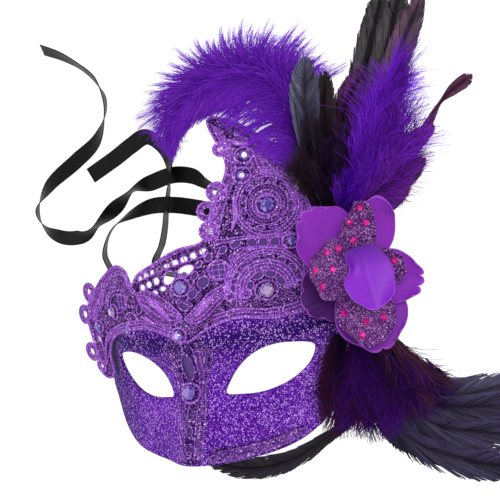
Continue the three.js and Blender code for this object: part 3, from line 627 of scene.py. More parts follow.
# %% Outlines of the face
BASE_CORNERS = [
    (0, -39), (20, -41), (40, -39), (56, -33), (69, -21), (79, -4), (88, 15), (88, 60),
    (82, 80), (76, 102), (65, 125), (48, 142), (37, 150), (27, 149), (33, 136), (36, 120),
    (33, 105), (27, 91), (18, 78), (7, 66), (-6, 58), (-20, 56), (-40, 59), (-60, 57),
    (-75, 49), (-88, 36), (-88, 5), (-79, -10), (-71, -26), (-58, -36), (-40, -40), (-20, -41),
]
EYE_CORNERS = [
    (17, -3), (20, 5), (28, 14), (40, 20.5), (52, 21.5), (64.5, 17.5), (61.5, 8), (51.5, -0.3),
    (38, -4.8), (26, -5),
]
LACE_CORNERS = [
    (27, 151), (38, 149), (56, 133), (66, 113), (70, 92), (70, 72), (69, 56), (67, 41),
    (50, 37), (30, 40), (14, 36), (2, 30), (-10, 34), (-26, 38), (-46, 35), (-62, 30),
    (-70, 20), (-72, 4), (-83, 5), (-85, 26), (-87, 40), (-80, 53), (-66, 66), (-47, 74),
    (-40, 72), (-36, 61), (-27, 69), (-13, 75), (4, 82), (18, 85), (25, 104), (34, 124),
]
NOSE_CORNERS = [
    (-2, 29), (9, 28), (13, 22), (9, 10), (7, 3), (7, -12), (6, -28), (5, -37),
    (-1, -38), (-6, -37), (-7, -28), (-8, -12), (-10, 3), (-11, 10), (-15, 22), (-12, 28),
]
base_loop = round_loop(BASE_CORNERS, 1.3)
base_loop[:, 0] = np.clip(base_loop[:, 0], 0.05 - HALF_WIDTH, HALF_WIDTH - 0.05)
eye_loop = round_loop(EYE_CORNERS)
eye_loops = [eye_loop, eye_loop[::-1] * (-1, 1)]
lace_loop = round_loop(LACE_CORNERS)
nose_loop = round_loop(NOSE_CORNERS)
print(f"eye openings are {np.ptp(eye_loop[:, 0]):.1f} mm wide")

# %% Moulded face
WALL = 2
RIM_BULGE = 0.5
# Painted shade on the left flank, where the glitter is also thinner, and above the eyes
FLANK_START, FLANK_RUN, FLANK_THIN_AND_SHADE = 38, 35, 0.65
BROW_LINE, BROW_BAND, BROW_SHADE = 28, 9, 0.9
chart, faces = triangles_of([base_loop, *eye_loops], cut_of([base_loop], eye_loops), 1.7)
points, faces = slab(chart, faces, -WALL, 0, RIM_BULGE)
points[:, 2] = np.maximum(points[:, 2], 0)
bare = np.ones(len(points))
bare[:len(chart)] = inside(chart, lace_loop) | inside(chart, nose_loop)
bare[2 * len(chart):] = 0
# The glitter is painted darker as shade above the eyes and on the rims, and on the left flank, where it is
# also thinner
flank = np.clip((-points[:, 0] - FLANK_START) / FLANK_RUN, 0, 1)
brow = bell((points[:, 1] - BROW_LINE) / BROW_BAND)
thin = np.maximum(FLANK_THIN_AND_SHADE * flank, BROW_SHADE * brow)
thin[2 * len(chart):] = 1
face_heap = Heap()
face_heap.add(points, faces, bare=bare, thin=thin)
print(len(chart), "points on the chart of the face")

# %% Violet glitter
FLAKE, SPARKLE_SIZE = 0.45, 0.55    # millimetres across the fine flakes, and across the cells of the few painted sparkles
glitter = Finish("violet_glitter", specular_ior_level=0.1, ior=1.1)
flake = glitter.flakes(FLAKE)
shine = glitter.channel(flake, "Red")
drift = glitter.noise(26)
covered = 1 - glitter.number("bare")
# painted highlight: a few flakes are painted near white, as sparkles of the lights
painted_sparkle = (glitter.channel(glitter.flakes(SPARKLE_SIZE), "Green") + 0.3 * drift).over(1.02)
ground = glitter.ramp(0.8 * shine + 0.4 * drift, [
    (0.15, rgb(16, 0, 54)), (0.6, rgb(84, 16, 146)), (1.0, rgb(172, 82, 238)),
])
ground = glitter.mix(0.35 * glitter.noise(18), ground, rgb(78, 22, 190))
# painted shade: above the eyes, on the rims and on the left flank the glitter is mixed towards dark violet
ground = glitter.mix(glitter.number("thin"), ground, rgb(44, 16, 100))
ground_and_sparkle = glitter.mix(painted_sparkle, ground, rgb(214, 164, 255))
plastic = glitter.mix(glitter.noise(9), rgb(88, 64, 132), rgb(110, 86, 152))
glitter.feeds(
    base_color=glitter.mix(covered, plastic, ground_and_sparkle),
    roughness=0.55 - 0.2 * covered * shine,
    metallic=0.15 * covered * shine,
    normal=glitter.tilted(flake, 0.9 * covered),
)
piece("moulded_face", face_heap, "glitter_shell", glitter, ["mask_base"])

# %% [markdown]
# ## Guipure lace
# Guipure is stitched on a film that is then washed away. What stays is a ground of fine stitches, pierced by
# windows, with thick cords, rungs and padded leaves on it. A bump map could fake that, but the cords throw
# shadows and the windows show what is behind, so the ground is cut out of the chart and every cord is a rod.

# %% Stones and windows
# Columns: name, x, y, radius, seat over the lace, tone
STONES = [
    ("crest_stone_top", 43, 129, 2.6, 0.55, "lavender"),
    ("crest_stone_upper", 41, 118, 2.6, 0.55, "lavender"),
    ("crest_stone_rosette", 51, 100, 4, 0.55, "lavender"),
    ("crest_stone_edge", 66, 108, 3, 0.55, "rainbow"),
    ("crest_stone_side", 60, 78, 2.5, 0.55, "lavender"),
    ("brow_stone_right", 46, 53, 4, 0.55, "rainbow"),
    ("net_stone", 3, 61, 3.8, 0.55, "lavender"),
    ("brow_stone_middle", -2, 34, 2.9, 0.55, "lavender"),
    ("bridge_stone", -1.5, -0.5, 4.2, 1.1, "lavender"),
    ("temple_stone", -57, 46, 3.2, 0.55, "rainbow"),
    ("temple_stone_lower", -41, 36.5, 2.4, 0.55, "lavender"),
    ("temple_stone_outer", -76, 36, 2.4, 0.55, "lavender"),
]
# Columns: x, y, radius
SCALLOPS = [
    (22, 90, 5.5), (22, 101, 5.5), (28, 111, 5.5), (32, 134, 4), (-82, 57, 6), (-90, 43, 6),
    (-90, 19, 6), (-83, 10, 4.5),
]
EYELET_SHARE = 0.42
# Columns: x, y, half length, half width, turn in degrees
WINDOWS = [
    (-51, 51.5, 10.5, 5.6, 12), (-29.5, 49.3, 3.4, 2.2, 60), (-79, 28, 2.4, 2, 95), (-80, 43, 2.4, 2, 95),
    (-24.2, 61.8, 2.4, 1.9, 20), (-18.6, 63.4, 2.5, 2.1, 20), (-12.6, 65.2, 2.6, 2.3, 20),
    (-3.4, 66.6, 4.8, 3.2, 40), (6.8, 69.8, 5, 2.9, 22), (11.2, 66.4, 2.7, 1.7, 60),
    (14.4, 72.6, 2.3, 1.6, 55),
    (-8.4, 60.8, 2.5, 1.6, 10), (-0.6, 55.4, 2.3, 1.5, -20), (9, 56.4, 3, 2.2, 40),
    (-14.6, 58.6, 2.1, 1.6, 10), (3, 50, 3, 2.2, -40), (15.4, 62.2, 3.6, 2.9, 45),
    (19.8, 75.6, 2.4, 1.9, 60), (32.6, 73.6, 2.5, 2, 30), (27.6, 78.6, 2.4, 1.8, 50), (24.4, 68, 5, 5, 0),
    (34.4, 80.8, 2.9, 1.9, 30), (42.3, 80.3, 2.2, 2.9, 0), (47.4, 79.4, 2.2, 3, 0),
    (52.6, 78.8, 2.2, 2.9, 0),
    (28.4, 52.6, 2.1, 1.7, 60), (36.2, 52.8, 2.2, 1.7, 100), (-5.8, 50.4, 2.6, 1.9, -40),
]
# Columns: middle x, y, ring's half sizes, how many, first and last angle, half length, half width
WINDOW_RINGS = [
    (51, 100.5, 11, 13.2, 12, 10, 340, 2, 1), (46, 53, 8, 9.2, 4, 24, 156, 2.8, 1.9),
    (46, 53, 16, 18.6, 8, 12, 168, 2.3, 1.3), (43, 129, 6.5, 6.5, 3, 290, 430, 2, 1.3),
]
NET_START, NET_END, NET_COUNT = (-25.5, 67), (17.5, 79.2), 9
NET_WINDOW = (2.3, 1.9, 18)
ISLANDS, ISLAND_MARGIN = 8, 1           # the first stones stand on islands of cloth, a little wider than they


def ring_windows(x, y, half_x, half_y, count, first, last, long, short):
    loops = []
    for angle in np.radians(np.linspace(first, last, count)):
        turn = math.degrees(angle) + 90
        loops.append(oval(x + half_x * math.cos(angle), y + half_y * math.sin(angle), long, short, turn))
    return loops


net_places = np.linspace(NET_START, NET_END, NET_COUNT)
scallop_loops = [oval(x, y, radius, radius) for x, y, radius in SCALLOPS]
window_loops = [oval(*row) for row in WINDOWS]
window_loops += [loop for row in WINDOW_RINGS for loop in ring_windows(*row)]
window_loops += [oval(x, y, *NET_WINDOW) for x, y in net_places]
window_loops += [oval(x, y, radius * EYELET_SHARE, radius * EYELET_SHARE) for x, y, radius in SCALLOPS]
island_loops = [oval(x, y, radius + ISLAND_MARGIN, radius + ISLAND_MARGIN)
                for _, x, y, radius, *_ in STONES[:ISLANDS]]
print(len(window_loops), "windows in the brow lace")

# %% Threads
LACE_LOW, LACE_TOP, LACE_BULGE = 0.6, 1.35, 0.25
CORD_LIFT, LOW_LIFT = 1.5, 1.3          # cords over the face, and the thin ones that lie lower
CORD_STEP = 0.8
BAND_STATIONS = 60
PICOT_CLEAR = 1.5             # from the middle of a picot to the next cord
CORD_TINT, LEAF_TINT = rgb(186, 102, 242), rgb(200, 118, 250)
FACE_CORD_TINT = rgb(112, 52, 172)      # cords that lie on the glitter, and are dusted with it
# The grounds are a darker violet than the cords, partly as painted shade between them
SHADED_GROUND_TINT, SHADED_FACE_GROUND_TINT = rgb(28, 0, 72), rgb(44, 4, 98)
RUNG_SHADE = 0.45                       # rungs lie lower than cords, and are painted darker as their shade
threads = np.random.default_rng(11)
laid = []                     # chart lines of all cords laid so far


def lace_ground(outlines, holes, spacing, tint, islands=(), height=face_height):
    """A heap with the pierced ground of a lace, and the test of where its cloth is."""
    keep = cut_of(outlines, holes, islands)
    chart, faces = triangles_of([*outlines, *holes, *islands], keep, spacing)
    points, faces = slab(chart, faces, LACE_LOW, LACE_TOP, LACE_BULGE, height)
    heap = Heap()
    heap.add(points, faces, tint=tint, ground=1)
    return heap, keep


def smooth(stops, count=80):
    return curve(stops, np.linspace(0, 1, count))


def lay_cord(heap, line, width=0.9, tint=CORD_TINT, distance=CORD_LIFT):
    """A corded outline: a thread wound round a core, so its width beats from stitch to stitch."""
    line = even(np.asarray(line, float), max(4, round(length_of(line) / CORD_STEP) + 1))
    points, normals = lift(line, distance, lace_height)
    swing = (-1.0) ** np.arange(len(line))
    beat = 1 + 0.16 * swing
    rings, faces = rods(points[None], width / 2 * beat, width * 0.5 * beat, normals[None], 6)
    # painted highlight and shade: each wrap is painted lighter and each groove between wraps darker
    tone = tint * threads.uniform(0.8, 1.15) * (1 + 0.5 * swing)[None, :, None, None]
    heap.add(rings, faces, tint=tone, ground=0)
    laid.append(line)


def lay_rungs(heap, starts, ends, width=0.75, tint=CORD_TINT):
    """Short bars side by side, as satin stitch fills a band."""
    share = np.linspace(0, 1, 4)[None, :, None]
    lines = starts[:, None] * (1 - share) + ends[:, None] * share
    points, normals = lift(lines, CORD_LIFT - 0.15, lace_height)
    rings, faces = rods(points, width / 2, width * 0.4, normals, 5)
    # painted shade: rungs are painted darker than the cords
    tone = tint * RUNG_SHADE * threads.uniform(0.6, 1.35, (len(lines), 1, 1, 1))
    heap.add(rings, faces, tint=tone, ground=0)
    laid.append(lines.reshape(-1, 2))


# %% Bands, leaves and picots
def lay_band(heap, first, second, lines, rungs, width=0.9, rung_width=0.6, tint=CORD_TINT):
    """Cords that run side by side between two edges, with rungs across."""
    first, second = (even(smooth(edge), BAND_STATIONS) for edge in (first, second))
    for share in np.linspace(0, 1, lines):
        lay_cord(heap, first + (second - first) * share, width, tint)
    if rungs:
        place = (np.arange(rungs) + 0.5) / rungs * (BAND_STATIONS - 1)
        ends = (rows_at(edge, np.arange(BAND_STATIONS), place) for edge in (first, second))
        lay_rungs(heap, *ends, rung_width, tint)


def arc(x, y, half_x, half_y, first=0, last=360):
    angle = np.radians(np.linspace(first, last, max(8, round(abs(last - first) / 9))))
    return np.column_stack([x + half_x * np.cos(angle), y + half_y * np.sin(angle)])


def lay_leaf(heap, spine, half_width, tint=LEAF_TINT):
    """A padded satin leaf, its stitches lying across it."""
    line = even(smooth(spine), max(8, round(length_of(smooth(spine)) / 0.55)))
    points, normals = lift(line, CORD_LIFT, lace_height)
    share = np.linspace(0.04, 0.96, len(line))
    stitch = 1 + 0.07 * (-1.0) ** np.arange(len(line))
    body = np.sin(np.pi * share) ** 0.7 * stitch
    heap.add(*rods(points[None], half_width * body, 0.9 * body, normals[None], 10), tint=tint, ground=0)
    laid.append(line)


def lay_picots(heap, keep, corners, step=2.9, radius=1.0):
    """Little stitched rings wherever the ground is left empty."""
    spots = staggered(corners, step)
    spots = spots[keep(spots)]
    taken = np.concatenate(laid)
    clear = np.array([np.min(np.sum((taken - spot) ** 2, axis=1)) for spot in spots])
    for x, y in spots[clear > PICOT_CLEAR ** 2]:
        # painted shade: picots lie lower and are painted darker
        lay_cord(heap, arc(x, y, radius, radius), 0.7, CORD_TINT * RUNG_SHADE, LOW_LIFT)


print("thread helpers ready")

# %% Brow and crest pattern
TEMPLE_EDGE = [(-68, 49), (-63, 58.6), (-53, 65.6), (-43, 67), (-37.5, 62.5), (-35, 57)]
# Columns: one edge, the other edge, cords, rungs
BANDS = [
    ([(-73, 49), (-64, 66), (-56, 70), (-41, 73.4), (-36.5, 70), (-34, 64), (-31, 59)],
     TEMPLE_EDGE, 4, 60),
    (TEMPLE_EDGE, [(-64.5, 46), (-61.5, 54), (-52, 59), (-43, 59.5), (-38.6, 54)], 2, 46),
    ([(-31, 58), (-22.7, 60), (-14.7, 58), (-7, 53.4), (-1, 48), (1.6, 44.6)],
     [(-30, 55), (-24, 47.5), (-16.6, 42.4), (-8, 40), (-2, 41), (1.6, 44)], 5, 44),
    ([(2.8, 43), (12.4, 51), (18, 56), (24.5, 59), (30, 62)],
     [(4, 41), (8, 40), (14, 42), (20.4, 47.6), (26, 52.6), (30, 60)], 5, 36),
    ([(17, 38.6), (32, 40.6), (48, 38.2), (60, 39.2), (66.4, 42)],
     [(18, 43), (32, 45), (46, 42.4), (60, 43.6), (66.6, 47)], 3, 56),
    ([(-4, 33), (-12, 35.6), (-26, 39.2), (-46, 36.2), (-62, 31.4), (-73, 24), (-76, 12)],
     [(-5, 37.6), (-12, 39.6), (-26, 42.6), (-44, 40.6), (-60, 36), (-70, 30), (-74.5, 22)], 3, 80),
    ([(-85.6, 38), (-84, 28), (-83.4, 19), (-82, 11)],
     [(-78.6, 38), (-76.6, 29), (-76.4, 21), (-77.6, 11)], 2, 24),
    ([(-86, 40), (-79.6, 51.6), (-66.4, 64)], [(-79, 38), (-74, 46), (-69, 51)], 3, 34),
    ([(-29, 64.4), (-14.4, 69), (-3, 72.4), (8, 74.6), (19.4, 77)],
     [(-27, 68), (-13.6, 73.6), (-3, 78), (7.3, 81.6), (17.4, 83.6)], 2, 14),
    ([(66, 44), (68, 58), (69, 74), (69, 92), (65, 112), (55, 132), (40, 146)],
     [(61, 47), (63.4, 60), (64.4, 75), (64, 91), (60.6, 109), (51.6, 126), (39, 138)], 3, 120),
    ([(28, 149), (32.6, 137), (34.4, 123), (26.4, 104), (20, 86)],
     [(33.6, 144), (37, 134), (38.6, 122), (31, 102), (25.6, 86)], 3, 70),
    ([(45.3, 132.6), (46, 127), (48, 119), (54, 115.4)],
     [(51, 131.6), (52.4, 126), (55.2, 120), (58.6, 116.6)], 4, 26),
    ([(20, 86), (28, 84.4), (38, 84.6), (50, 83), (61, 83)],
     [(21, 82), (29, 82.6), (38, 83), (50, 81.8), (62, 81)], 2, 34),
    ([(31, 62), (31, 68), (36, 76), (48, 76.4), (58, 74)],
     [(27, 62), (30, 69), (35, 77.6), (48, 77.4), (58, 76)], 2, 30),
    ([(32, 60), (31, 46)], [(34.4, 60), (33.4, 46)], 2, 14),
]
# Columns: x, y, inner and outer share of the half sizes, half sizes, first and last angle, cords, rungs
ROSETTES = [
    (51, 100.5, 0.3, 0.52, 16, 19, 0, 360, 3, 44), (51, 100.5, 0.52, 0.6, 16, 19, 0, 360, 2, 0),
    (51, 100.5, 0.8, 1.0, 16, 19, 0, 360, 3, 90), (46, 53, 0.5, 0.75, 19, 22.6, -4, 184, 4, 60),
    (46, 53, 0.92, 1.06, 19, 22.6, 0, 180, 3, 80), (62, 51, 0.55, 1.0, 6, 8, 10, 170, 2, 12),
    (-38, 39, 0.35, 1.0, 7, 8, 30, 150, 2, 9), (31, 43, 0.3, 1.0, 6, 7, 20, 160, 1, 8),
]
# Columns: x, y, radius of a corded ring
RINGS = [
    (24.4, 68, 5.6), (5.8, 67.4, 1.4), (28.4, 52.6, 2.7), (36.2, 52.8, 2.7), (35.4, 135, 2), (41, 118, 4.4),
    (43, 129, 4.4), (60, 78, 4), (66, 108, 4.6), (-76, 36, 3.8), (-41, 36.5, 3.8), (-57, 46, 4.6),
    (3, 61, 5.2), (46, 53, 5.4), (51, 100, 5.2), (-2, 34, 4.3),
]
# Columns: spine, half width of a padded satin leaf
LEAVES = [
    ([(-22, 55.6), (-14, 50.2), (-6.6, 43.6)], 2.2), ([(8.6, 43.4), (14, 49.4), (19.6, 54.4)], 2.0),
    ([(-86, 47), (-80, 56), (-73, 60)], 1.3), ([(36, 139), (40.6, 136), (46.6, 134.6)], 1.4),
    ([(33, 88), (36, 97), (36, 108)], 1.3), ([(-29, 45), (-24, 43.4), (-18, 40.6)], 1.2),
]
# Columns: middle, radius, threads each way
NETS = [((24.4, 68), 5.2, 3), ((-46, 53), 6, 3)]
print(len(BANDS), "bands,", len(ROSETTES), "rosettes and", len(RINGS), "rings")

# %% Brow and crest stitches
lace_heap, on_lace = lace_ground([lace_loop, *scallop_loops], window_loops, 1.5, SHADED_GROUND_TINT, island_loops,
                                 lace_height)
lay_cord(lace_heap, closed_line(lace_loop), 1.5)
for loop in window_loops:
    lay_cord(lace_heap, closed_line(loop), 0.8, distance=LOW_LIFT)
for first, second, cords, rungs in BANDS:
    lay_band(lace_heap, first, second, cords, rungs)
for x, y, inner, outer, half_x, half_y, first, last, cords, rungs in ROSETTES:
    edges = [arc(x, y, half_x * share, half_y * share, first, last) for share in (inner, outer)]
    lay_band(lace_heap, *edges, cords, rungs)
for x, y, radius in RINGS:
    lay_cord(lace_heap, arc(x, y, radius, radius), 1.2)
for spine, half_width in LEAVES:
    lay_leaf(lace_heap, spine, half_width)
for x, y, radius in SCALLOPS:
    lay_cord(lace_heap, arc(x, y, radius - 0.3, radius - 0.3), 1.3)
    eyelet = radius * EYELET_SHARE + 0.3
    inner, outer = (arc(x, y, size, size, 0, 342) for size in (eyelet, radius - 0.3))
    lay_rungs(lace_heap, inner, outer, 0.9)
for (x, y), radius, count in NETS:
    for place in np.linspace(-0.6, 0.6, count) * radius:
        half = math.sqrt(radius ** 2 - place ** 2)
        lay_cord(lace_heap, [(x - half, y + place), (x + half, y + place)], 0.7, distance=LOW_LIFT)
        lay_cord(lace_heap, [(x + place, y - half), (x + place, y + half)], 0.7, distance=LOW_LIFT)
lay_picots(lace_heap, on_lace, lace_loop)
print(len(laid), "cords, leaves and rows of rungs on the brow")

# %% Lace thread finish
lace = Finish("purple_lace_thread", specular_ior_level=0.12, ior=1.15)
dust = lace.flakes(0.8)
grain = lace.channel(dust, "Red")
# painted highlight: a few glitter flakes on the threads are painted near white as glints, and made glossier
dust_and_glint = lace.channel(dust, "Green").over(0.93) * (1 - 0.5 * lace.number("ground"))
fibre = lace.noise(0.5, 5.0)
mesh_edge = lace.flakes(1.8, "DISTANCE_TO_EDGE", "Distance")
# painted shade: the hollows of the ground's fine stitch mesh are painted near black
shaded_hollow = lace.number("ground") * mesh_edge.over(0.16)
thread = lace.mix(0.5 - 0.25 * lace.number("ground"), lace.tint(), lace.ramp(grain, [
    (0.1, rgb(30, 2, 66)), (0.95, rgb(212, 140, 252))]))
shade = lace.mix(shaded_hollow * 0.9, thread, rgb(16, 0, 38))
lace.feeds(
    base_color=lace.mix(dust_and_glint, shade, rgb(226, 190, 255)),
    roughness=0.55 - 0.35 * dust_and_glint,
    metallic=0.3 * dust_and_glint,
    normal=lace.bump(fibre, 0.25, 0.7),
)
piece("brow_guipure", lace_heap, "guipure_lace", lace, ["brow_lace"])

# %% Nose lace
# Columns: x, y, half length, half width, turn in degrees
NOSE_WINDOWS = [
    (-1, 15, 8, 3.6, 90), (7, 19, 4.5, 1.9, 70), (-9, 19, 4.5, 1.9, 110), (-1, -12, 3, 1.8, 90),
    (-1, -21, 3, 1.8, 90), (-1, -30, 3, 1.8, 90),
]
NOSE_BANDS = [
    ([(-14, 24), (-10.6, 9), (-9.4, 2), (-7.6, -12), (-6.6, -28), (-5.6, -36.6)],
     [(-11.5, 26), (-6.4, 9), (-5.6, 2), (-4.4, -12), (-4, -28), (-3.4, -36.6)], 3, 60),
    ([(4.2, 26), (4.4, 9), (3.6, 2), (2.6, -12), (2, -28), (1.6, -36.6)],
     [(11, 25), (8.6, 9), (6.9, 2), (6.6, -12), (5.7, -28), (4.8, -36.6)], 3, 60),
    ([(-4.2, -7.5), (-4, -36)], [(2.6, -7.5), (1.8, -36)], 0, 9),
]
BRIDGE_RING = (-1.5, -0.5, 5.6, 5.6)
nose_windows = [oval(*row) for row in NOSE_WINDOWS]
nose_heap, _ = lace_ground([nose_loop], nose_windows, 1.4, SHADED_FACE_GROUND_TINT)
for loop in nose_windows:
    lay_cord(nose_heap, closed_line(loop), 0.9, FACE_CORD_TINT)
# the outline cord is painted darker by the rungs' shade factor
lay_cord(nose_heap, closed_line(nose_loop), 0.7, FACE_CORD_TINT * RUNG_SHADE)
for first, second, cords, rungs in NOSE_BANDS:
    lay_band(nose_heap, first, second, cords, rungs, 0.8, 0.7, FACE_CORD_TINT)
lay_cord(nose_heap, arc(*BRIDGE_RING), 1.4)
piece("nose_guipure", nose_heap, "guipure_lace", lace, ["nose_lace"])

# %% Cheek edging
EDGING_CORNERS = [
    (9, -39.5), (20, -40), (32, -39), (44, -36.5), (53, -32.5), (54, -28), (46, -29.5), (34, -32),
    (22, -33), (10, -32.5),
]
EDGING_LOW = [(10, -38.8), (20, -39.3), (32, -38.3), (44, -35.8), (52.6, -32)]
EDGING_HIGH = [(10.6, -33.4), (22, -33.8), (34, -32.8), (46, -30.2), (53.4, -28.6)]
EDGING_LOOPS = 9
EDGING_HOLE, EDGING_RING, EDGING_PICOT = (1.5, 1.3), (1.8, 1.6), (2.7, 2.5)
edging_loop = round_loop(EDGING_CORNERS)
edging_middle = (even(smooth(EDGING_LOW), EDGING_LOOPS) + even(smooth(EDGING_HIGH), EDGING_LOOPS)) / 2
edging_holes = [oval(x, y, *EDGING_HOLE) for x, y in edging_middle]
edging_heap, _ = lace_ground([edging_loop], edging_holes, 1.3, SHADED_FACE_GROUND_TINT)
for x, y in edging_middle:
    lay_cord(edging_heap, arc(x, y, *EDGING_RING), 0.8, FACE_CORD_TINT)
    lay_cord(edging_heap, arc(x, y, *EDGING_PICOT, 180, 360), 0.8, FACE_CORD_TINT)
lay_band(edging_heap, EDGING_LOW, EDGING_HIGH, 2, 54, 0.9, 0.6, FACE_CORD_TINT)
piece("cheek_guipure", edging_heap, "guipure_lace", lace, ["cheek_edging"])

# %% [markdown]
# ## Cut stones
# The stones are cut glass with a foil back: a flat table, eight kites round it and a ring of small facets.
# Real glass would need many light bounces to sparkle, so each facet is painted with its own tone, a painted
# reflection of what the foil would throw back, and the gloss comes from the studio lights.

# %% Facets
TABLE_SHARE, KITE_SHARE = 0.56, 0.83
GIRDLE_HIGH, KITE_HIGH, CROWN_HIGH = 0.16, 0.46, 0.7


def ring_of(count, radius, high, turn=0.0):
    angle = 2 * np.pi * (np.arange(count) + turn) / count
    return np.column_stack([radius * np.cos(angle), radius * np.sin(angle), np.full(count, high)])


def stone_facets():
    """Triangles of a stone of radius 1 on its flat back, and the direction each facet faces."""
    rings = [ring_of(16, 1, 0), ring_of(16, 1, GIRDLE_HIGH), ring_of(8, KITE_SHARE, KITE_HIGH, 0.5),
             ring_of(8, TABLE_SHARE, CROWN_HIGH)]
    base, girdle, kite, table = (start + np.arange(len(ring)) for start, ring in zip((0, 16, 32, 40), rings))
    back, crown = 48, 49
    faces = []
    for i in range(16):
        j = (i + 1) % 16
        faces += [(base[i], base[j], girdle[j]), (base[i], girdle[j], girdle[i])]
        faces.append((base[j], base[i], back))
        faces.append((girdle[i], girdle[j], kite[i // 2]))
    for i in range(8):
        j = (i + 1) % 8
        faces += [(girdle[2 * j], table[j], kite[i]), (girdle[2 * i], kite[i], table[i])]
        faces += [(table[i], kite[i], table[j]), (table[i], table[j], crown)]
    corners = np.concatenate([*rings, [(0, 0, 0), (0, 0, CROWN_HIGH)]])
    triangles = corners[np.array(faces)]
    facing = unit(np.cross(triangles[:, 1] - triangles[:, 0], triangles[:, 2] - triangles[:, 0]))
    return triangles, facing


STONE_TRIANGLES, STONE_FACING = stone_facets()
print(len(STONE_TRIANGLES), "triangles on a stone")

# %% Set stones
LACE_SEAT = 1.8               # top of the solid lace over the face
# Columns: darkest and lightest tone of a kind of stone, between which the facets are painted as reflection
STONE_TONES = {
    "lavender": (rgb(74, 34, 164), rgb(190, 162, 252)),
    "rainbow": (rgb(112, 80, 188), rgb(236, 204, 238)),
    "pink": (rgb(196, 0, 112), rgb(255, 52, 190)),
}


def set_stone(heap, place, normal, radius, kind):
    side = unit(np.cross((0, 1, 0), normal))
    axes = np.stack([side, np.cross(normal, side), normal])
    points = STONE_TRIANGLES * radius @ axes + place
    # painted reflection: each facet's tone follows the way it faces, as the foil would throw light back
    glint = 0.5 + 0.5 * np.sin(9.1 * STONE_FACING[:, 0] + 7.3 * STONE_FACING[:, 1] + 2 * place[0])
    dark, light = STONE_TONES[kind]
    tint = dark + (light - dark) * (glint ** 1.3)[:, None]
    count = len(points)
    heap.add(points, [np.arange(count * 3).reshape(count, 3)], tint=tint[:, None])


def stone_finish(name, clouds, gloss, coat):
    """Foiled glass: clouds is the share of milky streaks in it."""
    made = Finish(name, specular_ior_level=gloss, coat_weight=coat, coat_roughness=0.03)
    haze = made.noise(1.4)
    milk = made.ramp(haze, [(0.3, rgb(90, 60, 150)), (0.7, rgb(245, 240, 255))])
    made.feeds(base_color=made.mix(clouds, made.tint(), milk), roughness=0.06 + 0.1 * haze, metallic=0.25)
    return made


crystal = stone_finish("foiled_glass", 0.05, 0.5, 0.3)
pink_glass = stone_finish("hot_pink_glass", 0.0, 0.3, 0.2)
stone_heap = Heap()
for _, x, y, radius, seat, kind in STONES:
    place, normal = lift(np.array([x, y]), LACE_SEAT + seat, lace_height)
    set_stone(stone_heap, place, normal, radius, kind)
piece("cut_stones", stone_heap, "crystal", crystal, [row[0] for row in STONES], smooth=False)

# %% [markdown]
# ## The cloth flower
# Nine petals and a lip, cut from stiffened cloth and pressed over a hot ball, are glued round a short stem.
# Pressed cloth keeps its form, so each petal is a grid bent by a formula rather than a simulation: its tip is
# lobed, its edge ripples and a groove runs down its middle. Four petals carry glitter and pink stones.

# %% Flower frame
FLOWER_FOOT = (78.5, 57)
FLOWER_RISE = 19
FLOWER_TILT = math.radians(38)
FLOWER_AXIS = np.array([math.sin(FLOWER_TILT), 0, math.cos(FLOWER_TILT)])
FLOWER_RIGHT = np.array([math.cos(FLOWER_TILT), 0, -math.sin(FLOWER_TILT)])
FLOWER_HEART = on_post(FLOWER_FOOT, FLOWER_RISE)
PETAL_ROOT, LIP_ROOT = 2.75, -15
PETAL_HALF = 0.25
# Columns: name, angle, length, width, seat, lift, cup, lobes of the tip, their depth, ripple of the edge
PETALS = [
    ("petal_left_lower", 209, 36, 34, 0.6, -1, 0, 2, 0.06, 0.8),
    ("petal_left_upper", 126, 45, 38, 2.6, 1, 2, 3, 0.06, 1.2),
    ("petal_bottom", 279, 46, 42, 4, 5, 4, 2, 0.06, 1.1),
    ("petal_right", 343, 34, 30, 5.4, 11, 3, 3, 0.1, 1.3),
    ("petal_right_upper", 73, 42, 30, 8, 12, 2, 1, 0.04, 1.1),
    ("glitter_petal_top", 92, 40, 21, 10, 16, 2, 2, 0.06, 0.8),
    ("glitter_petal_bottom", 266, 40, 34, 9.8, 9, 4, 3, 0.06, 0.8),
    ("glitter_petal_right", 5, 21, 22, 11.4, 12, 3, 2, 0.06, 0.6),
    ("glitter_petal_left", 165, 34, 34, 13.4, 11, 3, 2, 0.06, 0.9),
    ("flower_lip", 275, 20, 30, 17.4, 5, 5, 1, 0.02, 0.5),
]
# Columns: share along the petal, place across from -1 to 1
PINK_STONES = {
    "glitter_petal_top": [(0.9, 0.1), (0.72, -0.5), (0.66, 0.5), (0.42, -0.2)],
    "glitter_petal_left": [(0.88, -0.1), (0.7, 0.55), (0.7, -0.6), (0.5, 0), (0.45, 0.7)],
    "glitter_petal_bottom": [(0.85, 0.3), (0.62, -0.6), (0.66, 0), (0.5, 0.7)],
    "glitter_petal_right": [(0.8, -0.3)],
}
PINK_RADIUS = 2
print("heart of the flower on the chart, mm:", FLOWER_HEART.round(1))


# %% Form of a petal
def root_of(name):
    return LIP_ROOT if name == "flower_lip" else PETAL_ROOT


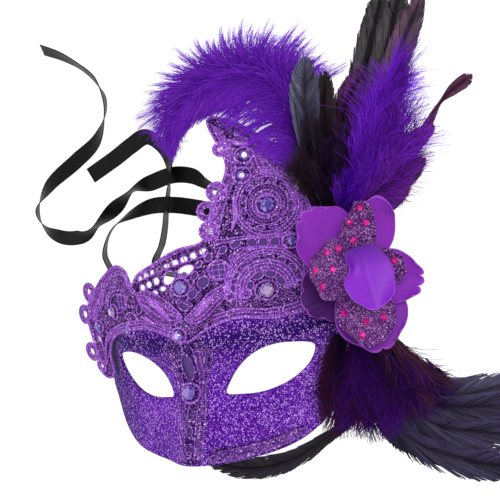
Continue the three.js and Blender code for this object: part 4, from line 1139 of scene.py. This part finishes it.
def petal_point(row, aside, share):
    """A point of a petal: aside from -1 to 1 across it, share from its root to its tip."""
    name, angle, length, width, seat, rise, cup, lobes, lobe_depth, ripple = row
    start = root_of(name)
    turn = math.radians(angle)
    body = np.sin(np.pi * (0.09 + 0.75 * share ** 0.85)) ** 0.75
    wave = np.sqrt(np.abs(np.sin(lobes * np.pi / 2 * (aside + 1)))) - 0.6
    tip = 1 - 0.16 * share ** 4 * aside ** 2 + lobe_depth * share ** 7 * wave
    reach = start + (length - start) * share * tip
    across = width / 2 * body * aside * (1 + 0.03 * np.sin(9 * share + angle))
    height = seat + rise * share ** 2 + cup * share * aside ** 2
    if name == "flower_lip":
        pleat = bell((aside - 0.9) / 0.45) * bell((share - 0.3) / 0.14)
        across = across * (1 - 0.5 * pleat)
        height = height - 4.5 * pleat
    height += ripple * share ** 3 * np.sin(5.2 * aside + angle) * np.abs(aside) ** 0.7
    height -= 0.5 * bell(aside / 0.07) * np.sin(np.pi * np.clip(share, 0, 1)) ** 0.5
    right = reach * math.cos(turn) + across * math.sin(turn)
    top = reach * math.sin(turn) - across * math.cos(turn)
    parts = ((right, FLOWER_RIGHT), (top, CHART_TOP), (height, FLOWER_AXIS))
    return FLOWER_HEART + sum(np.asarray(size)[..., None] * axis for size, axis in parts)


# %% Petal finishes
VEINS = 46                    # radians of a sine from a petal's middle to its edge, about seven veins


def petal_finish(name, root, middle, edge, rough):
    """Stiffened cloth: darker towards the root, lighter at the edge, a fine weave and pressed veins."""
    made = Finish(name, sheen_weight=0.05, sheen_roughness=0.3, specular_ior_level=0.2)
    along, across = made.number("along"), made.number("across")
    weave = made.noise(0.35, 2.0)
    veins = (across * VEINS).sine()
    rim = (along ** 24 + (across * across) ** 14).over(0.55)
    tone = made.ramp(along + 0.12 * made.noise(7), [(0.05, root), (0.45, middle), (1.0, middle)])
    # painted shade: petals that lie under others are darkened towards the root colour
    tone = made.mix(made.number("covered"), tone, root)
    made.feeds(
        base_color=made.mix(0.1 * weave + 0.6 * rim, tone, edge),
        roughness=rough + 0.15 * weave,
        normal=made.bump(weave + 0.15 * veins, 0.1, 0.5),
    )
    return made


plain_cloth = petal_finish("purple_petal_cloth", rgb(60, 4, 90), rgb(146, 46, 192), rgb(180, 86, 222), 0.5)
lip_cloth = petal_finish("bright_lip_satin", rgb(84, 16, 146), rgb(140, 40, 204), rgb(172, 86, 236), 0.35)
glitter_cloth = Finish("glitter_petal_cloth", specular_ior_level=0.15)
fine = glitter_cloth.flakes(0.5)
glint = glitter_cloth.channel(fine, "Red")
glitter_cloth.feeds(
    base_color=glitter_cloth.ramp(glint * 0.8 + 0.3 * glitter_cloth.noise(8), [
        (0.15, rgb(48, 6, 68)), (0.45, rgb(88, 26, 110)), (0.75, rgb(122, 58, 146)),
        (0.95, rgb(218, 164, 232))]),
    roughness=0.55 - 0.25 * glint,
    metallic=0.25 * glint,
    normal=glitter_cloth.tilted(fine, 0.7),
)
print("petal finishes ready")

# %% Petals
PETAL_ROWS, PETAL_COLUMNS = 34, 31
PETAL_SHADE = {"petal_left_lower": 1.0, "petal_bottom": 0.3}     # petals painted darker, as they lie in the shade of others
# Slot and finish by the first word of a petal's name
PETAL_KINDS = {
    "petal": ("petal_cloth", plain_cloth),
    "glitter": ("glitter_cloth", glitter_cloth),
    "flower": ("lip_satin", lip_cloth),
}
SPOT_STEP = 1e-3
aside, share = np.meshgrid(np.linspace(-1, 1, PETAL_COLUMNS), np.linspace(0, 1, PETAL_ROWS))
pink_heap = Heap()
for row in PETALS:
    name, angle, length, width = row[:4]
    grid = petal_point(row, aside, share)
    points, faces = shell(grid, -PETAL_HALF, PETAL_HALF)
    heap = Heap()
    heap.add(points, faces, along=share, across=aside, covered=PETAL_SHADE.get(name, 0))
    made = piece(f"pressed_{name}", heap, *PETAL_KINDS[name.split("_")[0]], [name])
    steps = np.cross(np.diff(grid, axis=0)[:, :-1], np.diff(grid, axis=1)[:-1])
    cut = float(np.linalg.norm(steps, axis=-1).sum()) * MM ** 2
    run = (length - root_of(name)) * MM
    print(f"  cut from {width} x {run / MM:.0f} mm, {cut * 1e6:.0f} mm2")
    run * 1.15
    min(cut, width * MM * run * 1.15)
    for along, across in PINK_STONES.get(name, []):
        spot = [petal_point(row, np.array(across + dx), np.array(along + dy))
                for dx, dy in ((0, 0), (SPOT_STEP, 0), (0, SPOT_STEP))]
        normal = unit(np.cross(spot[2] - spot[0], spot[1] - spot[0]))
        normal = normal * np.sign(normal @ FLOWER_AXIS)
        set_stone(pink_heap, spot[0] + 0.2 * normal, normal, PINK_RADIUS, "pink")
piece("pink_stones", pink_heap, "crystal", pink_glass, [], smooth=False)

# %% Stem
# The stem is a peg bound with florist's tape; under the petals it widens into a calyx.
TAPE_STEP, TAPE_TURN, TAPE_RIDGE = 0.5, 2.4, 0.035
# Columns: distance over the face, radius
STEM_STOPS = [(0.35, 5.0), (5, 4.6), (15.5, 4.0)]
# Columns: distance from the flower's heart along its axis, radius
CALYX_STOPS = [(-3.4, 5.0), (-1.2, 6.0), (-1.1, 2.2), (17.2, 2.2)]
stem_heap = Heap()
stem_line = [on_post(FLOWER_FOOT, distance) for distance, _ in STEM_STOPS]
stem_line += [FLOWER_HEART + distance * FLOWER_AXIS for distance, _ in CALYX_STOPS]
stem_radii = [radius for _, radius in STEM_STOPS + CALYX_STOPS]
run = runs(stem_line)
places = np.arange(0, run[-1], TAPE_STEP)
stem_points = rows_at(stem_line, run, places)
tape = np.interp(places, run, stem_radii) * (1 + TAPE_RIDGE * np.sin(places * 2 * np.pi / TAPE_TURN))
stem_heap.add(*rods(stem_points[None], tape, tape, CHART_TOP, 18),
              along=0.3, across=places[None, :, None] / 40, covered=0)
piece("taped_stem", stem_heap, "petal_cloth", plain_cloth, ["flower_stem"])

# %% [markdown]
# ## Feathers
# A feather is a quill with hundreds of barbs on each side, hooked together into a vane that splits here and
# there. Hair particles would be quick to set up, but they don't export, so every barb is a thin closed rod of
# three sides, and all barbs of a bunch are made in one array. A tint travels with each barb.

# %% Vanes
FACING = np.array([0.35, 0.0, 0.94])
VANE_FOLD = 0.12
SPINE_STATIONS, WEB_STATIONS = 161, 40
LOCK_BARBS = 9                # barbs that hook together between two splits


def vane_share(share, bare, fullness):
    """The solids' outline of a vane: nothing on the bare quill, then full, then a point."""
    along = np.clip((share - bare) / (1 - bare), 0, 0.999)
    return np.sqrt(np.maximum(0, np.sin(np.pi * along ** fullness)))


# %% One feather
def lay_feather(heap, draw, stops, half_width, tints, bare=0.12, fullness=1.2, outline=None, gap=0.75,
                lean=3.0, ragged=0.05, quill=0.55, barb_stations=5, split=0.012, streak=0.3, web=0.75,
                covered=0.0, shaded_half=0.0):
    """One feather: tints are the colours at its quill and at its edge, web the share hooked into one sheet.

    The vane is full or, where an outline is given, as wide as its pairs of share and width say. The first
    covered share of it lies under other feathers and is painted darker as their shade, and its right half is
    painted darker as the shaded side."""
    shares = np.linspace(0, 1, SPINE_STATIONS)
    spine = curve(stops, shares)
    along = unit(np.gradient(spine, axis=0))
    side = -unit(np.cross(np.broadcast_to(FACING, along.shape), along))
    length = length_of(spine)

    def at(line, share):
        return rows_at(line, shares, share)

    def half_at(share):
        if outline:
            return half_width * np.interp(share, *zip(*outline))
        return half_width * vane_share(share, bare, fullness)

    count = max(12, round(length * (1 - bare) / gap))
    for hand in (-1, 1):
        root = np.linspace(bare, 0.985, count) + draw.uniform(-0.3, 0.3, count) * gap / length
        ahead = lean * half_width / length
        locks = np.floor(np.linspace(0, 1, count) * count / LOCK_BARBS + draw.uniform(0, 1)).astype(int)
        shift = draw.normal(0, split, locks.max() + 2)[locks]
        full = half_at(np.minimum(root + ahead, 1)) / half_width
        tip = np.minimum(root + ahead * (0.35 + 0.65 * full) + shift, 1.0)
        width = half_at(tip) * (1 + draw.normal(0, ragged, count)) + 0.15
        spread = at(side, tip) * (hand * width)[:, None]
        ends = at(spine, tip) + spread - FACING * (VANE_FOLD * width)[:, None]
        starts = at(spine, root)
        middle = starts * 0.55 + ends * 0.45 + spread * 0.3 + FACING * (0.05 * width)[:, None]
        lines = bend(starts, middle, ends, barb_stations)
        taper = np.linspace(1, 0.25, barb_stations) ** 0.7
        thick = gap * 0.95 * taper
        rings, faces = rods(lines, thick, 0.22 * thick, FACING, 3)
        mixed = np.linspace(0, 1, barb_stations)[None, :, None, None]
        tone = draw.uniform(0.85, 1.15, count) * draw.uniform(1 - streak, 1 + streak, locks.max() + 2)[locks]
        # painted shade: the covered base of the vane, and its right half, are darkened
        tone *= 0.35 + 0.65 * np.clip((root - bare) / max(covered, 1e-6), 0, 1)
        tone *= 1 - shaded_half * (hand > 0)
        tint = (tints[0] * (1 - mixed) + tints[1] * mixed) * tone[:, None, None, None]
        heap.add(rings, faces, tint=tint)
    stations = np.linspace(bare, 0.97, WEB_STATIONS)
    places = np.linspace(-web, web, 5)
    width = half_at(stations) + 0.1
    middle = at(spine, stations) - FACING * 0.25
    grid = middle[:, None] + (at(side, stations) * width[:, None])[:, None] * places[None, :, None]
    grid = grid - FACING * (VANE_FOLD * width[:, None] * np.abs(places))[..., None]
    # painted shade: the web sheet under the barbs is darker than their roots
    heap.add(*shell(grid, -0.08, 0.08), tint=tints[0] * 0.7)
    radius = quill * np.linspace(1, 0.22, WEB_STATIONS)
    line = curve(stops, np.linspace(0, 0.99, WEB_STATIONS)) + FACING * 0.25
    heap.add(*rods(line[None], radius, radius, FACING, 5), tint=tints[0] * 0.8)


# %% Bindings and feather finishes
HEAD_RADIUS, HEAD_LENGTH, HEAD_ROOT = 3, 4.1, 3
SEAT_GAP = 0.35


def lay_binding(heap, foot, start, end, radius, tint):
    """Quills are bound to their peg with thread, wound turn on turn."""
    places = np.arange(start, end, 0.35)
    points = np.array([on_post(foot, place) for place in places])
    wound = radius * (1 - 0.05 * (np.arange(len(places)) % 2))
    heap.add(*rods(points[None], wound, wound, CHART_TOP, 14), tint=tint)


def head_heart(foot, post):
    return on_post(foot, post + SEAT_GAP + HEAD_ROOT)


def lay_head(heap, foot, post, tint):
    """The bound head of a soft bunch, seated on the post of the bunch below it."""
    seat = post + SEAT_GAP
    lay_binding(heap, foot, seat, seat + HEAD_LENGTH, HEAD_RADIUS, tint)


def feather_finish(name, rough, coat, gloss):
    made = Finish(name, coat_roughness=0.25, specular_ior_level=gloss, ior=1.3)
    streak = made.noise(1.6, 4.0)
    made.feeds(
        base_color=made.mix(0.5, made.tint(), made.mix(streak, (0.25, 0.25, 0.25), (1.6, 1.6, 1.6)),
                            "MULTIPLY"),
        roughness=rough - 0.15 * streak,
        coat_weight=coat * streak,
        normal=made.bump(streak, 0.12, 0.4),
    )
    return made


coque = feather_finish("dark_cock_feather", 0.45, 0.3, 0.25)
violet = feather_finish("violet_feather", 0.6, 0.0, 0.1)
fluff = feather_finish("maroon_down", 0.75, 0.0, 0.1)

# %% Soft barbs
STRAND_STATIONS = 6
FLUFF_LOWEST = 0.5


def blend(stops, share):
    """Colours for shares along a list of (share, colour) stops."""
    places, tones = zip(*stops)
    return rows_at(tones, places, share)


def lay_strands(heap, draw, lines, thick, roots, tips):
    """Fine closed strands whose colours run from roots to tips."""
    count, stations = lines.shape[:2]
    size = thick[:, None] * np.linspace(1, 0.3, stations)
    rings, faces = rods(lines, size, 0.5 * size, FACING, 3)
    mixed = np.linspace(0, 1, stations)[None, :, None]
    tint = (roots[:, None] * (1 - mixed) + tips[:, None] * mixed) * draw.uniform(0.86, 1.14, (count, 1, 1))
    heap.add(rings, faces, tint=tint[:, :, None])


def lay_fluff(heap, draw, heart, edge, tufts, strands, length, spread, thick, roots, tips, puff=14,
              lengths=(0.85, 1.12)):
    """Loose down in tufts, each of which leaves the bunch somewhere between its heart and its edge.

    Lengths are the shares of the way to the edge where the shortest and the longest tuft end."""
    tuft = np.repeat(np.arange(tufts), strands)
    count = len(tuft)
    share = np.clip(draw.uniform(0, 1, tufts)[tuft] + draw.normal(0, 0.025, count), 0, 1)
    climb = np.sqrt(draw.uniform(0.01, 0.75, tufts))[tuft] + draw.normal(0, 0.06, count)
    climb = np.clip(climb, 0.03, 0.9)[:, None]
    reach = curve(edge, share) - heart
    span = np.linalg.norm(reach, axis=1)[:, None]
    room = draw.uniform(*lengths, tufts)[tuft][:, None] - climb
    run = np.minimum(length * draw.uniform(0.5, 1.2, count)[:, None], np.maximum(room, 0.08) * span)
    start = heart + reach * climb + UP * puff * climb * (1 - climb) + draw.normal(0, 0.7, (count, 3))
    aside = draw.normal(0, spread, (tufts, 3))[tuft] + draw.normal(0, spread / 2, (count, 3))
    heading = reach / span
    end = start + unit(heading + aside) * run
    middle = start + heading * run * 0.5 - aside * run * 0.25 + UP * 0.08 * run
    lines = bend(start, middle, end, STRAND_STATIONS)
    lines[..., 2] = np.maximum(lines[..., 2], FLUFF_LOWEST)
    tone = draw.uniform(0.45, 1.5, tufts)[tuft][:, None]
    hue = share + draw.normal(0, 0.16, tufts)[tuft]
    lay_strands(heap, draw, lines, thick * draw.uniform(0.6, 1.3, count), blend(roots, hue) * tone,
                blend(tips, hue) * tone)


print("feather helpers ready")

# %% Cock feathers
FAN_FOOT, FAN_POST = (77, 83), 7
TAIL_FOOT, TAIL_POST = (79, 38), 8
FAN_ROOT, TAIL_ROOT = 2.8, 3.6
PEG = 4
# Colours at the quill and at the edge of a vane
SLATE = (rgb(58, 54, 76), rgb(104, 101, 132))
INK = (rgb(42, 36, 60), rgb(86, 78, 118))
JET = (rgb(26, 22, 30), rgb(58, 52, 68))
BROWN = (rgb(42, 28, 30), rgb(66, 48, 50))
MAROON = (rgb(48, 16, 50), rgb(84, 34, 74))
SOOT = (rgb(38, 34, 38), rgb(70, 64, 70))
MAUVE = (rgb(66, 42, 60), rgb(100, 70, 92))
RUST = (rgb(62, 22, 52), rgb(94, 44, 76))
# Columns: spine after the root, half width, fullness, tints
FAN_FEATHERS = [
    ([(80, 104, 22), (84, 149, 38), (89, 177, 40)], 7.5, 2.2, SLATE),
    ([(84, 108, 18), (89, 140, 27), (96, 168, 31)], 6.5, 1.8, BROWN),
    ([(88, 112, 16), (99, 145, 20), (114, 168, 17)], 7, 1.6, MAROON),
    ([(92, 115, 14), (110, 165, 8), (126, 213, 0.3)], 7.5, 1.8, SOOT),
    ([(96, 115, 13), (120, 165, 7), (137, 216, 0.3)], 7.5, 1.8, SOOT),
    ([(98, 112, 12), (128, 168, 6), (146, 203, 0.3)], 7, 1.8, MAUVE),
    ([(108, 104, 11), (128, 120, 11), (146, 131, 9)], 6, 1.2, RUST),
    ([(106, 94, 10), (122, 102, 9), (138, 114, 6)], 6, 1.2, RUST),
    ([(98, 88, 7), (112, 92, 5.5), (126, 98, 3)], 5.5, 1.2, RUST),
]
TAIL_FEATHERS = [
    ([(100, 18, 9), (110, 2, 9), (128, -18, 7), (178, -12, 0.3)], 9, 2.2, SLATE),
    ([(98, 16, 9), (107, -6, 9.5), (124, -22, 7.5), (186, -27, 0.3)], 10, 2.4, INK),
    ([(97, 14, 8.5), (104, -12, 9), (120, -33, 7), (184, -45, 0.3)], 11, 2.4, INK),
    ([(93, 12, 8), (96, -15, 8), (105, -40, 6), (138, -57, 2), (178, -64, 0.3)], 11, 2.2, INK),
    ([(91, 8, 7.5), (92, -18, 7), (97, -40, 5), (111, -55, 2)], 4.5, 1.2, MAROON),
]
SICKLE_STOPS = [
    (91, 16, 4.6), (91, -2, 4.5), (87, -19, 4), (74, -32, 4), (54, -44, 4),
    (36, -54, 4), (18, -59, 4), (1, -60, 4), (-13, -57, 4.5), (-24, -54, 5),
]
SICKLE_SEAT, SICKLE_STEP = 1.8, 4.7
# One feather is trimmed to a racket: a broad foot, a thin neck and a paddle
RACKET_STOPS = [(112, 103, 12), (142, 130, 14), (153, 144, 13), (170, 155, 10)]
RACKET_HALF = 3.4
RACKET_OUTLINE = [
    (0.12, 0), (0.3, 0.5), (0.5, 0.65), (0.62, 0.45), (0.72, 0.16), (0.78, 0.25), (0.85, 0.8), (0.92, 1),
    (0.97, 0.85), (1, 0.1),
]
SICKLE_OUTLINE = [(0.3, 0), (0.42, 0.35), (0.55, 0.7), (0.7, 1), (0.85, 0.95), (0.95, 0.6), (1, 0.1)]
# Where the soft lower barbs of the fan's quills end
FAN_DOWN_TIPS = [(71, 114, 29), (75, 128, 34), (82, 134, 36), (91, 134, 33), (99, 130, 28), (101, 118, 23)]
FAN_DOWN_ROOTS = [(0, rgb(20, 10, 26)), (1, rgb(26, 8, 40))]
FAN_DOWN_ENDS = [(0, rgb(58, 42, 48)), (0.5, rgb(44, 28, 42)), (1, rgb(54, 18, 76))]
print(len(FAN_FEATHERS) + 1, "feathers in the fan,", len(TAIL_FEATHERS), "in the tail")

# %% Fan, tail and sickle
# Painted shade on the covered base of each vane, and on its right half
BUNCH_SHADED_BASE, BUNCH_SHADED_HALF = 0.45, 0.4
FEATHER_LOWEST = 0.03


def lay_bunch(foot, root, post, feathers, draw):
    heap = Heap()
    start = on_post(foot, root)
    for stops, half_width, fullness, tints in feathers:
        lay_feather(heap, draw, [start, *stops], half_width, tints, fullness=fullness, quill=0.4,
                    covered=BUNCH_SHADED_BASE, shaded_half=BUNCH_SHADED_HALF, streak=0.45)
    lay_binding(heap, foot, 0.35, post, PEG, rgb(52, 30, 60))
    return heap


def rest_on_table(heap):
    for rows in heap.points:
        rows[:, 2] = np.maximum(rows[:, 2], FEATHER_LOWEST)


fan_draw = np.random.default_rng(21)
fan_heap = lay_bunch(FAN_FOOT, FAN_ROOT, FAN_POST, FAN_FEATHERS, fan_draw)
fan_root = on_post(FAN_FOOT, FAN_ROOT)
lay_feather(fan_heap, fan_draw, [fan_root, *RACKET_STOPS], RACKET_HALF, RUST, outline=RACKET_OUTLINE,
            ragged=0.02, split=0)
lay_fluff(fan_heap, fan_draw, fan_root, FAN_DOWN_TIPS, tufts=60, strands=26, length=42, spread=0.12,
          thick=0.26, roots=FAN_DOWN_ROOTS, tips=FAN_DOWN_ENDS, puff=6, lengths=(0.5, 1.4))
rest_on_table(fan_heap)
piece("cock_feather_fan", fan_heap, "dark_feather", coque, ["coque_fan"])
tail_heap = lay_bunch(TAIL_FOOT, TAIL_ROOT, TAIL_POST, TAIL_FEATHERS, np.random.default_rng(22))
rest_on_table(tail_heap)
piece("cock_feather_tail", tail_heap, "dark_feather", coque, ["coque_tail"])
sickle_heap = Heap()
sickle_root = on_post(TAIL_FOOT, SICKLE_SEAT) - (0, SICKLE_STEP, 0)
lay_feather(sickle_heap, np.random.default_rng(23), [sickle_root, *SICKLE_STOPS], 6.5, JET, bare=0.34,
            outline=SICKLE_OUTLINE, gap=0.6, quill=1.0, covered=0.2)
piece("sickle_plume", sickle_heap, "dark_feather", coque, ["sickle_feather"])

# %% Violet hackle
HACKLE_TIPS = [
    (115, 142, 27), (126, 156, 27), (136, 168, 26), (142, 176, 24), (144, 166, 22), (140, 157, 22),
    (141, 146, 21), (148, 132, 19), (144, 123, 17), (138, 114, 15), (129, 101, 12), (121, 93, 10),
]
HACKLE_TINTS = (rgb(76, 10, 164), rgb(130, 40, 228))
HACKLE_ROOTS = [(0, rgb(78, 10, 168)), (0.6, rgb(90, 14, 182)), (1, rgb(66, 14, 112))]
HACKLE_ENDS = [
    (0, rgb(146, 48, 240)), (0.55, rgb(158, 52, 255)), (0.7, rgb(120, 44, 140)), (0.85, rgb(152, 54, 230)),
    (1, rgb(110, 48, 120)),
]
HACKLE_FEATHERS = 9
hackle_draw = np.random.default_rng(31)
hackle_heap = Heap()
hackle_heart = head_heart(FAN_FOOT, FAN_POST)
for index, share in enumerate(np.linspace(0.03, 0.97, HACKLE_FEATHERS)):
    tip = curve(HACKLE_TIPS, [share])[0]
    end = hackle_heart + (tip - hackle_heart) * (0.86 if index % 2 == 0 else 0.66)
    middle = hackle_heart * 0.5 + end * 0.5 + (0, 0, 3)
    lay_feather(hackle_heap, hackle_draw, [hackle_heart, middle, end], 8, HACKLE_TINTS, bare=0.14,
                fullness=0.9, gap=1.2, lean=2.0, ragged=0.35, quill=0.3, split=0.04, web=0.3, covered=0.3)
lay_fluff(hackle_heap, hackle_draw, hackle_heart, HACKLE_TIPS, tufts=100, strands=40, length=34, spread=0.22,
          thick=0.22, roots=HACKLE_ROOTS, tips=HACKLE_ENDS)
lay_head(hackle_heap, FAN_FOOT, FAN_POST, rgb(60, 20, 110))
piece("violet_hackle", hackle_heap, "violet_feather", violet, ["purple_hackle"])

# %% Tail fluff
DOWN_TIPS = [
    (72, 14, 21), (68, -7, 22), (66, -22, 20), (71, -34, 15), (81, -34, 12), (88, -39, 11),
    (98, -34, 12), (112, -28, 12), (128, -20, 11), (141, -12, 10),
]
DOWN_ROOTS = [(0, rgb(28, 10, 38)), (0.6, rgb(34, 8, 66)), (0.85, rgb(30, 10, 50)), (1, rgb(36, 16, 36))]
DOWN_ENDS = [
    (0, rgb(68, 26, 66)), (0.35, rgb(74, 28, 66)), (0.6, rgb(88, 22, 154)), (0.85, rgb(66, 24, 98)),
    (1, rgb(96, 54, 66)),
]
down_draw = np.random.default_rng(41)
down_heap = Heap()
down_heart = head_heart(TAIL_FOOT, TAIL_POST)
lay_fluff(down_heap, down_draw, down_heart, DOWN_TIPS, tufts=120, strands=36, length=32, spread=0.18,
          thick=0.3, roots=DOWN_ROOTS, tips=DOWN_ENDS)
lay_head(down_heap, TAIL_FOOT, TAIL_POST, rgb(34, 12, 48))
piece("tail_fluff", down_heap, "down", fluff, ["tail_down"])

# %% Ostrich plume
PLUME_FOOT, PLUME_POST, PLUME_PEG = (74.5, 97), 4.5, 2.4
PLUME_SPINE = [
    (77, 98, 12.8), (76, 112, 17.5), (74, 128, 20), (75, 149, 24), (75, 164, 31), (68, 173, 41),
    (55, 176, 49), (40, 174, 53), (27, 165, 53), (15, 152, 49), (7, 137, 45),
]
OUTER_TIPS = [
    (108, 170, 15), (101, 178, 17), (92, 187, 22), (88, 196, 31), (80, 199, 42), (64, 203, 51),
    (48, 200, 56), (33, 197, 58), (11, 186, 58), (-9, 174, 56), (-14, 154, 52), (-10, 140, 48), (4, 130, 45),
]
INNER_TIPS = [
    (64, 120, 29), (54, 127, 36), (46, 137, 42), (38, 147, 47), (33, 152, 49), (26, 151, 50), (20, 148, 51),
    (15, 144, 50), (11, 140, 49), (7, 135, 47), (3, 130, 45),
]
COVER_TIPS = [(x, y, z + 4) for x, y, z in PLUME_SPINE[3:]]
PLUME_TINTS = (rgb(72, 10, 152), rgb(138, 40, 234), rgb(192, 90, 255))
print(f"plume's quill is {length_of(smooth(PLUME_SPINE)):.0f} mm long")

# %% Flues
STRAY_SHARE, STRAY_THICK = 0.25, 0.14
plume_draw = np.random.default_rng(51)
plume_heap = Heap()


def locks_of(draw, share, count):
    """The middle and the half width of the lock that each strand belongs to; locks are uneven."""
    seams = np.concatenate([[0], np.cumsum(draw.uniform(0.4, 1.6, count))])
    seams = seams / seams[-1]
    lock = np.clip(np.searchsorted(seams, share, "right") - 1, 0, count - 1)
    return (seams[lock] + seams[lock + 1]) / 2, (seams[lock + 1] - seams[lock]) / 2


def lay_flues(tips, first, ahead, locks, notch, sag, count, thick, reaches, tight=0.5, loose=0.9, crowd=1.0,
              uneven=0.1):
    """Soft flues that leave the quill at a slant, follow it and open out to a line of tips, in locks.

    First is the share of the quill where they start, ahead how far a flue leans, notch the gap between locks.
    Reaches are the shortest and longest share of the way to the tips, tight is how closely a lock holds,
    crowd above 1 puts more flues near the foot and uneven makes some locks short."""
    draw = plume_draw
    share = draw.uniform(0, 1, count) ** crowd
    centre, half = locks_of(draw, share, locks)
    lock = np.unique(centre, return_inverse=True)[1]
    off = np.abs(share - centre) / half
    stray = draw.uniform(0, 1, count) < STRAY_SHARE
    held = centre + (share - centre) * (1 - tight * draw.uniform(0.2, 1.0, count))
    target = np.where(stray, share, held)
    station = first + (1 - first) * share
    roots = curve(PLUME_SPINE, np.maximum(station - ahead * draw.uniform(0.5, 1.3, count), 0.12))
    knees = curve(PLUME_SPINE, station)
    reach = (1 - notch * off ** 1.5 * draw.uniform(0.2, 1.0, count)) * draw.uniform(*reaches, count)
    reach *= draw.uniform(1 - uneven, 1, lock.max() + 1)[lock]
    ends = knees + (curve(tips, target) - knees) * reach[:, None] + draw.normal(0, loose, (count, 3))
    droop = np.array(sag) * (1 + 3 * share[:, None] ** 3)
    knees = knees + (ends - knees) * 0.25 + droop + draw.normal(0, 1.0, (count, 3))
    lines = bend(roots, knees, ends, STRAND_STATIONS)
    light = draw.uniform(0, 0.9, count)[:, None] ** 2
    ends_tint = PLUME_TINTS[1] * (1 - light) + PLUME_TINTS[2] * light
    size = np.where(stray, STRAY_THICK, thick * draw.uniform(0.6, 1.2, count))
    lay_strands(plume_heap, draw, lines, size, PLUME_TINTS[0][None], ends_tint)


# %% Plume
QUILL_STATIONS = 70
lay_flues(OUTER_TIPS, first=0.34, ahead=0.14, locks=30, notch=0.3, sag=(0, 2, 2), count=1500, thick=0.32,
          reaches=(0.4, 0.78))
lay_flues(OUTER_TIPS, first=0.34, ahead=0.1, locks=42, notch=0.3, sag=(0, 3, 2), count=1200, thick=0.24,
          reaches=(0.75, 1.08), tight=0.95, loose=0.5, uneven=0.3)
lay_flues(INNER_TIPS, first=0.14, ahead=0.1, locks=26, notch=0.2, sag=(0, 3, 3), count=2700, thick=0.32,
          reaches=(0.85, 1.08), tight=0.8, crowd=1.4)
lay_flues(COVER_TIPS, first=0.28, ahead=0.2, locks=30, notch=0.3, sag=(0, 0, 1), count=700, thick=0.32,
          reaches=(0.8, 1.03), loose=3.0)
quill_line = curve(PLUME_SPINE, np.linspace(0, 1, QUILL_STATIONS))
quill_radius = np.linspace(1.4, 0.4, QUILL_STATIONS)
plume_heap.add(*rods(quill_line[None], quill_radius, quill_radius, FACING, 7), tint=PLUME_TINTS[0])
lay_binding(plume_heap, PLUME_FOOT, SEAT_GAP, PLUME_POST, PLUME_PEG, PLUME_TINTS[0])
piece("arching_ostrich_plume", plume_heap, "violet_feather", violet, ["ostrich_plume"])

# %% [markdown]
# ## Floor and light
# The mask lies on a sheet of white paper over a light table, which is how studios keep a background white
# even under the eye holes. The paper's glow is a constant; a soft world and two area lights model the forms.

# %% Floor
FLOOR_HALF = 6                # metres
floor_mesh = bpy.data.meshes.new("pale_floor")
floor_corners = [(x * FLOOR_HALF, y * FLOOR_HALF, 0) for x, y in ((-1, -1), (1, -1), (1, 1), (-1, 1))]
floor_mesh.from_pydata(floor_corners, [], [(0, 1, 2, 3)])
paper = Finish("pale_paper", roughness=0.9, specular_ior_level=0.1, emission_color=(1, 1, 1),
               emission_strength=0.93)
paper.feeds(base_color=paper.mix(paper.noise(40), (0.28, 0.28, 0.28), (0.3, 0.3, 0.3)))
floor_mesh.materials.append(paper.material)
floor = placed("pale_floor", floor_mesh)


# %% Studio light
def soft_light(name, place, size, power):
    """An area light that is aimed at the middle of the table."""
    lamp = bpy.data.lights.new(name, "AREA")
    lamp.size = size
    lamp.energy = power
    made = placed(name, lamp)
    made.location = place
    made.rotation_euler = (-Vector(place)).to_track_quat("-Z", "Y").to_euler()


soft_light("key_light", place=(0.5, 0.3, 0.95), size=0.4, power=5.5)
soft_light("fill_light", place=(-0.7, -0.4, 0.8), size=0.7, power=2)
sky = bpy.data.worlds.new("studio")
sky.use_nodes = True
background = sky.node_tree.nodes["Background"].inputs
background["Color"].default_value = (1, 1, 1, 1)
background["Strength"].default_value = 0.5
bpy.context.scene.world = sky
bpy.context.scene.view_settings.view_transform = "Standard"
print("floor and light ready")
